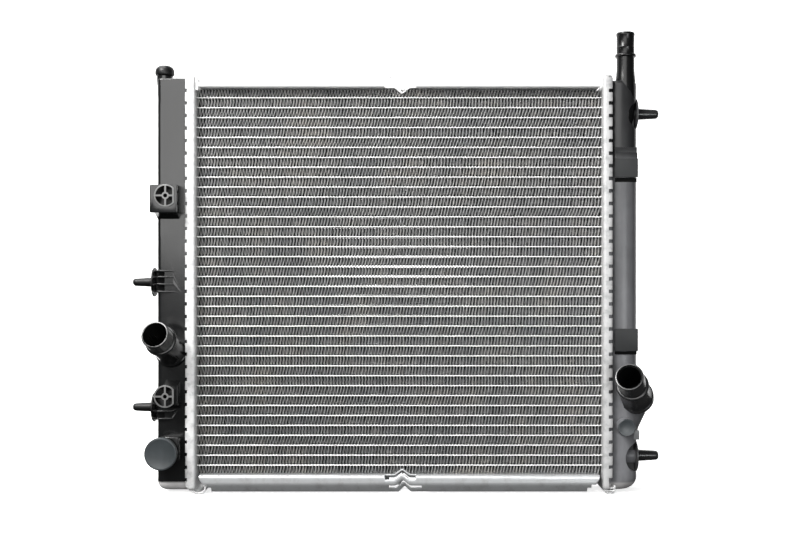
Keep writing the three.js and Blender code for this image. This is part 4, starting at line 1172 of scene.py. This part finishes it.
# the neck's root swells out of the tank's side and runs down into it
root = []
for z, rx, ry in ((54.0, 0.4, 6.0), (62.0, 2.8, 9.0), (70.0, 6.6, 12.0), (78.0, 10.4, 14.2), (86.0, 12.8, 15.4), (94.0, 13.4, 15.8), (102.0, 11.8, 15.0), (110.0, 7.6, 12.6), (117.0, 3.0, 9.0), (123.0, 0.4, 6.0)):
    ring = []
    for k in range(28):
        a = 2 * math.pi * k / 28
        ring.append((RIGHT_OUT - 7 + (7 + rx) * math.cos(a) if math.cos(a) > 0 else RIGHT_OUT - 7 + 5 * math.cos(a), -2.0 + ry * math.sin(a), z))
    root.append(ring)
v, f = rings(root)
adds.append(outward(obj_from("root", v, f, M_TANK_R_PAINTED_LIGHT)))
SP = dict(x=217.7, y=-6.0, top=441.2, r=8.4, bz=419.0)
prof = [(1.0, 338.0), (4.0, 346.0), (7.6, 358.0), (9.4, 370.0), (9.8, 382.0), (9.5, 394.0), (8.9, 400.0), (8.4, 405.0), (8.4, 416.6)]
prof += [(8.4 + 1.6 * math.sin(math.pi * k / 8), 419.0 - 1.7 * math.cos(math.pi * k / 8)) for k in range(9)]
prof += [(8.4, 421.4), (8.4, 426.7), (8.55, 427.0), (8.4, 427.3), (8.4, 437.8), (8.8, 438.6), (8.8, 439.8), (8.5, 440.7), (7.8, 441.2)]
sp = lathe("spigot", prof, (SP["x"], SP["y"], 0), (0, 0, 1), 56, M_SPIGOT)
lim = slab("lim2", rect(205.2, 240, -17.5, 20), "z", 320, 460, 0)
boolean(sp, [lim], "INTERSECT")
boolean(sp, [lathe("boreT", [(6.0, 372), (6.0, 440.4), (6.6, 441.6), (6.6, 450)], (SP["x"], SP["y"], 0), (0, 0, 1), 40)], "DIFFERENCE")
finish_mesh(sp.data, 32.0)
sp.name = "top_spigot"
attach(sp, "radiator")
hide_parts("right_tank")
boolean(body, adds, "UNION")
inner = tank_body("ri", 1, RIGHT_OUT - 2.5, 9.4, 390.9, 7.0, 7.0, 1.6, 12.2, FOOT_IN - 4)
keeps = [slab(f"rk{k}", rect(212.2, 232.0, -22.0, -3.6), "z", z - 17.5, z + 17.5, 0) for k, z in enumerate((363.7, 33.7))]
boolean(inner, keeps, "DIFFERENCE")
cuts = [inner]
for k, (hx, hz, hr) in enumerate(((231.5, 360.7, 13.5), (230.5, 33.7, 15.0))):
    cuts.append(slab(f"hol{k}", circle(hx, hz, hr, 64), "y", -30.0, -5.6, 0))
    # a near-black disc on each hollow's floor, darker than the tank around it: painted shade
    low = slab(("upper" if k == 0 else "lower") + "_pin_hollow_shade", circle(hx, hz, hr - 0.05, 64), "y", -6.0, -5.5, 0, material=M_HOLLOW_SHADE)
    boolean(low, [slab(f"holc{k}", rect(208.0, 226.9, hz - 18, hz + 18), "y", -8.0, -4.0, 0)], "INTERSECT")
    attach(low, "radiator")
    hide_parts("right_tank")
# the face falls away on a slope where the spigot rises out of the tank
cuts.append(slab("slope", [(208.6, 397.4), (210.9, 394.4), (221.2, 382.5), (223.5, 377.0), (232.0, 372.0), (232.0, 400.0), (208.6, 400.0)], "y", -30.0, -13.2, 0))
boolean(body, cuts, "DIFFERENCE")
adds = []
for k, z in enumerate((363.7, 33.7)):
    rim = lathe(("upper" if k == 0 else "lower") + "_right_pin_flange", [(8.0, 0.0), (14.8, 0.0), (15.2, 0.3), (15.2, 1.2), (14.8, 1.5), (8.0, 1.5)], (228.6, 0, z), (-1, 0, 0), 64, M_FLANGE)
    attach(rim, "radiator")
    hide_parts("right_tank")
    adds.append(lathe(f"rph{k}", [(8.5, 0.0), (8.5, 9.0), (9.5, 12.0)], (227.6, 0, z), (-1, 0, 0), 40, M_TANK_R_PAINTED_LIGHT))
    pin = lathe(("upper", "lower")[k] + "_right_pin", pin_profile(5.5, 4.5, 21.8), (228.6, 0, z), (1, 0, 0), 36, M_NECK_R)
    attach(pin, "radiator")
    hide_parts("right_tank")
    adds.append(slab(f"rpw{k}", rect(219.0, 227.8, -1.0, 1.0), "z", z - 14.4, z + 14.4, 0.2, M_TANK_R_PAINTED_LIGHT))
    adds.append(slab(f"rpx{k}", rect(219.0, 227.8, z - 1.0, z + 1.0), "y", 3.0, 13.6, 0.2, M_TANK_R_PAINTED_LIGHT))
boolean(body, adds, "UNION")
cuts = [lathe("boreR", [(11.0, -2), (11.0, 52.0)], NR["m"], [-c for c in NR["a"]], 64), lathe("chamR", [(11.9, -0.5), (11.0, 1.2)], NR["m"], [-c for c in NR["a"]], 64)]
cuts.append(lathe("boreS", [(6.0, 372), (6.0, 440.4), (6.6, 441.6), (6.6, 450)], (SP["x"], SP["y"], 0), (0, 0, 1), 40))
cuts.append(slab("hook0", rect(205.4, 226.6, 296.8, 300.9, 0.6), "y", -30, -13.4, 0))
cuts.append(slab("hook1", rect(205.4, 226.6, 132.4, 135.6, 0.6), "y", -30, -13.4, 0))
for k, (z0, z1) in enumerate(((296.9, 300.8), (132.5, 135.5))):
    # a near-black sheet on each hook pocket's floor: painted shade
    deep = slab(("upper" if k == 0 else "lower") + "_hook_recess_shade", rect(205.5, 226.5, z0, z1), "y", -15.0, -13.2, 0, material=M_SHADE_SHEET)
    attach(deep, "radiator")
    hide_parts("right_tank")
boolean(body, cuts, "DIFFERENCE")
finish_mesh(body.data, 32.0)
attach(body, "radiator")
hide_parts("right_tank")


# ----------------------------------------------------------------- bleed screw
def screw_mesh():
    head = [(3.4, 0.3), (8.0, 0.3), (8.7, 0.6), (9.0, 1.3), (9.1, 2.2), (9.1, 4.0), (8.8, 5.6), (8.0, 7.3), (6.6, 8.7), (4.6, 9.6), (2.2, 9.95), (0.6, 10.0)]
    ob = lathe("bleed_screw_body", head, (BS["x"], BS["y"], BS["z"]), (0, 0, 1), 56, M_SCREW)
    slot = slab("slot", rect(BS["x"] - 6.8, BS["x"] + 6.8, BS["y"] - 0.95, BS["y"] + 0.95, 0.5), "z", BS["z"] + 7.6, BS["z"] + 12, 0)
    boolean(ob, [slot], "DIFFERENCE")
    # shank with a helical thread
    seg, pitch = 32, 2.0
    zs = np.arange(-17.0, 0.61, 0.25)
    st = []
    for z in zs:
        ring = []
        for k in range(seg):
            t = 2 * math.pi * k / seg
            ph = (z / pitch - k / seg) % 1.0
            tri = max(0.0, 1 - abs(ph - 0.5) / 0.36)
            end = min(1.0, max(0.0, (z + 16.6) / 1.5))
            if z > -2.4:
                r = 3.4
            else:
                r = 3.35 + 0.55 * tri * end - 0.6 * (1 - min(1.0, (z + 17.0) / 1.2)) * 0.8
            ring.append((BS["x"] + r * math.cos(t), BS["y"] + r * math.sin(t), BS["z"] + z))
        st.append(ring)
    v, f = rings(st)
    sh = outward(obj_from("shank", v, f, M_SCREW))
    boolean(ob, [sh], "UNION")
    finish_mesh(ob.data, 35.0)
    return ob


sc = screw_mesh()
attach(sc, "bleed_screw_body")
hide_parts("bleed_screw")

st = []
for k in range(48):
    t = 2 * math.pi * k / 48
    c = (BS["x"] + 4.72 * math.cos(t), BS["y"] + 4.72 * math.sin(t), BS["z"] - 1.0)
    ring = []
    for j in range(16):
        a = 2 * math.pi * j / 16
        rr = 0.98 * math.cos(a)
        ring.append((c[0] + rr * math.cos(t), c[1] + rr * math.sin(t), c[2] + 0.9 * math.sin(a)))
    st.append(ring)
v, f = rings(st, closed_ends=False, closed_loop=True)
seal = outward(obj_from("bleed_o_ring", v, f, M_RUBBER))
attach(seal, "bleed_seal")
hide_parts("bleed_screw_seal")

# -------------------------------------------------------------------- gaskets
for side, nm in ((-1, "left_tank_gasket"), (1, "right_tank_gasket")):
    lo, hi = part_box(nm)
    x0, x1 = lo.x / MM - OX, hi.x / MM - OX
    hz0, hz1 = lo.z / MM, hi.z / MM
    xm, rx = (x0 + x1) / 2, (x1 - x0) / 2
    loop = fillet([(-18.5, hz0 + 1.9), (18.5, hz0 + 1.9), (18.5, hz1 - 1.9), (-18.5, hz1 - 1.9)], [2.0] * 4, 6)
    st = []
    L = len(loop)
    for k, (y, z) in enumerate(loop):
        p0, p1 = np.array(loop[k - 1]), np.array(loop[(k + 1) % L])
        tt = (p1 - p0) / np.linalg.norm(p1 - p0)
        nn = np.array([tt[1], -tt[0]])
        ring = []
        for j in range(12):
            a = 2 * math.pi * j / 12
            o = 1.85 * math.cos(a)
            ring.append((xm + rx * math.sin(a), y + nn[0] * o, z + nn[1] * o))
        st.append(ring)
    v, f = rings(st, closed_ends=False, closed_loop=True)
    g = outward(obj_from(nm.replace("_tank", "") + "_ring", v, f, M_RUBBER))
    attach(g, "radiator")
    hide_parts(nm)

# ------------------------------------------------------------- stage and light
def emit_mat(name, colour, strength):
    m = bpy.data.materials.new(name)
    m.use_nodes = True
    nt = m.node_tree
    nt.nodes.clear()
    e = nt.nodes.new("ShaderNodeEmission")
    e.inputs["Color"].default_value = (*colour, 1)
    e.inputs["Strength"].default_value = strength
    o = nt.nodes.new("ShaderNodeOutputMaterial")
    nt.links.new(e.outputs[0], o.inputs[0])
    return m


def floor_mat():
    """Matt white paper that glows evenly, as if lit from behind, so that it stays white to its edges."""
    m, nt, bsdf = material("pale_floor")
    n1 = noise(nt, 3.0, 3.0, 0.5)
    c = ramp(nt, n1.outputs["Fac"], [(0.3, (0.90, 0.90, 0.90)), (0.7, (0.92, 0.92, 0.92))])
    nt.links.new(c.outputs["Color"], bsdf.inputs["Base Color"])
    bsdf.inputs["Roughness"].default_value = 0.9
    bsdf.inputs["Specular IOR Level"].default_value = 0.1
    bsdf.inputs["Emission Color"].default_value = (1, 1, 1, 1)
    bsdf.inputs["Emission Strength"].default_value = 0.72
    return m


# a floor that sweeps up into a back wall
W, FRONT, BACK, R = 4200.0, -2600.0, 1300.0, 600.0
SPLIT = 320.0
back = [(SPLIT, 0.0), (500.0, 0.0), (BACK - R, 0.0)]
back += [(BACK - R + R * math.sin(math.pi / 2 * k / 16), R - R * math.cos(math.pi / 2 * k / 16)) for k in range(1, 17)]
back += [(BACK, 3200.0)]
paper = floor_mat()
for name, prof, seen in (("floor_sweep_front", [(FRONT, 0.0), (-800.0, 0.0), (SPLIT, 0.0)], False), ("floor_sweep_back", back, True)):
    verts = [(x, y, z - 0.05) for y, z in prof for x in (-W, W)]
    faces = [(2 * i, 2 * i + 1, 2 * i + 3, 2 * i + 2) for i in range(len(prof) - 1)]
    stage = obj_from(name, verts, faces, paper, 180.0)
    # the white sweep shows in the part's edges from behind and below only, as with black card laid in front of it
    stage.visible_glossy = seen
    stage.visible_diffuse = False


def area_light(name, loc, target, size, size_y, power, colour=(1, 1, 1)):
    l = bpy.data.lights.new(name, "AREA")
    l.shape = "RECTANGLE"
    l.size, l.size_y = size, size_y
    l.energy = power
    l.color = colour
    o = bpy.data.objects.new(name, l)
    collection.objects.link(o)
    o.location = loc
    o.rotation_euler = (Vector(target) - Vector(loc)).to_track_quat("-Z", "Y").to_euler()
    return o


MID = Vector((0.0, 0.02, 0.21))
area_light("softbox_front", (-0.30, -1.35, 0.66), (-0.22, 0.0, 0.22), 1.1, 0.92, 13.2, (1.0, 0.995, 0.985))
area_light("card_right", (0.60, -1.35, 0.14), (0.2, 0.0, 0.16), 0.46, 0.38, 5.5, (0.97, 0.99, 1.0))
area_light("key_left_top", (-0.95, -0.95, 1.28), (-0.05, 0.02, 0.19), 0.6, 0.5, 40.0, (1.0, 0.992, 0.98))
area_light("fill_right", (1.25, -1.25, 0.45), MID, 0.4, 0.7, 0.15, (0.97, 0.985, 1.0))
area_light("top", (-0.5, -0.1, 1.36), (-0.08, 0.02, 0.2), 1.4, 0.8, 23.0)
area_light("front_card", (-0.1, -2.0, 0.22), MID, 1.3, 0.5, 0.9, (0.96, 0.985, 1.0))
world = bpy.data.worlds.new("studio")
world.use_nodes = True
bg = world.node_tree.nodes["Background"]
bg.inputs["Color"].default_value = (1.0, 1.0, 1.0, 1)
bg.inputs["Strength"].default_value = 0.07
bpy.context.scene.world = world
bpy.context.scene.view_settings.view_transform = "Standard"
bpy.context.scene.view_settings.look = "None"
bpy.context.scene.view_settings.exposure = 0.0

# ---------------------------------------------------------------------- camera
CAM_D = 1000.0
cam = bpy.data.cameras.new("camera")
cam.sensor_width = 36.0
cam.lens = 36.0 * CAM_D / (0.956 * 800)
cam.dof.use_dof = False
co = bpy.data.objects.new("camera", cam)
collection.objects.link(co)
co.location = ((0.7 + OX) * MM, (-13.0 - CAM_D + OY) * MM, 216.4 * MM)
co.rotation_euler = (math.radians(90), 0, 0)
cam.clip_end = 20
bpy.context.scene.camera = co
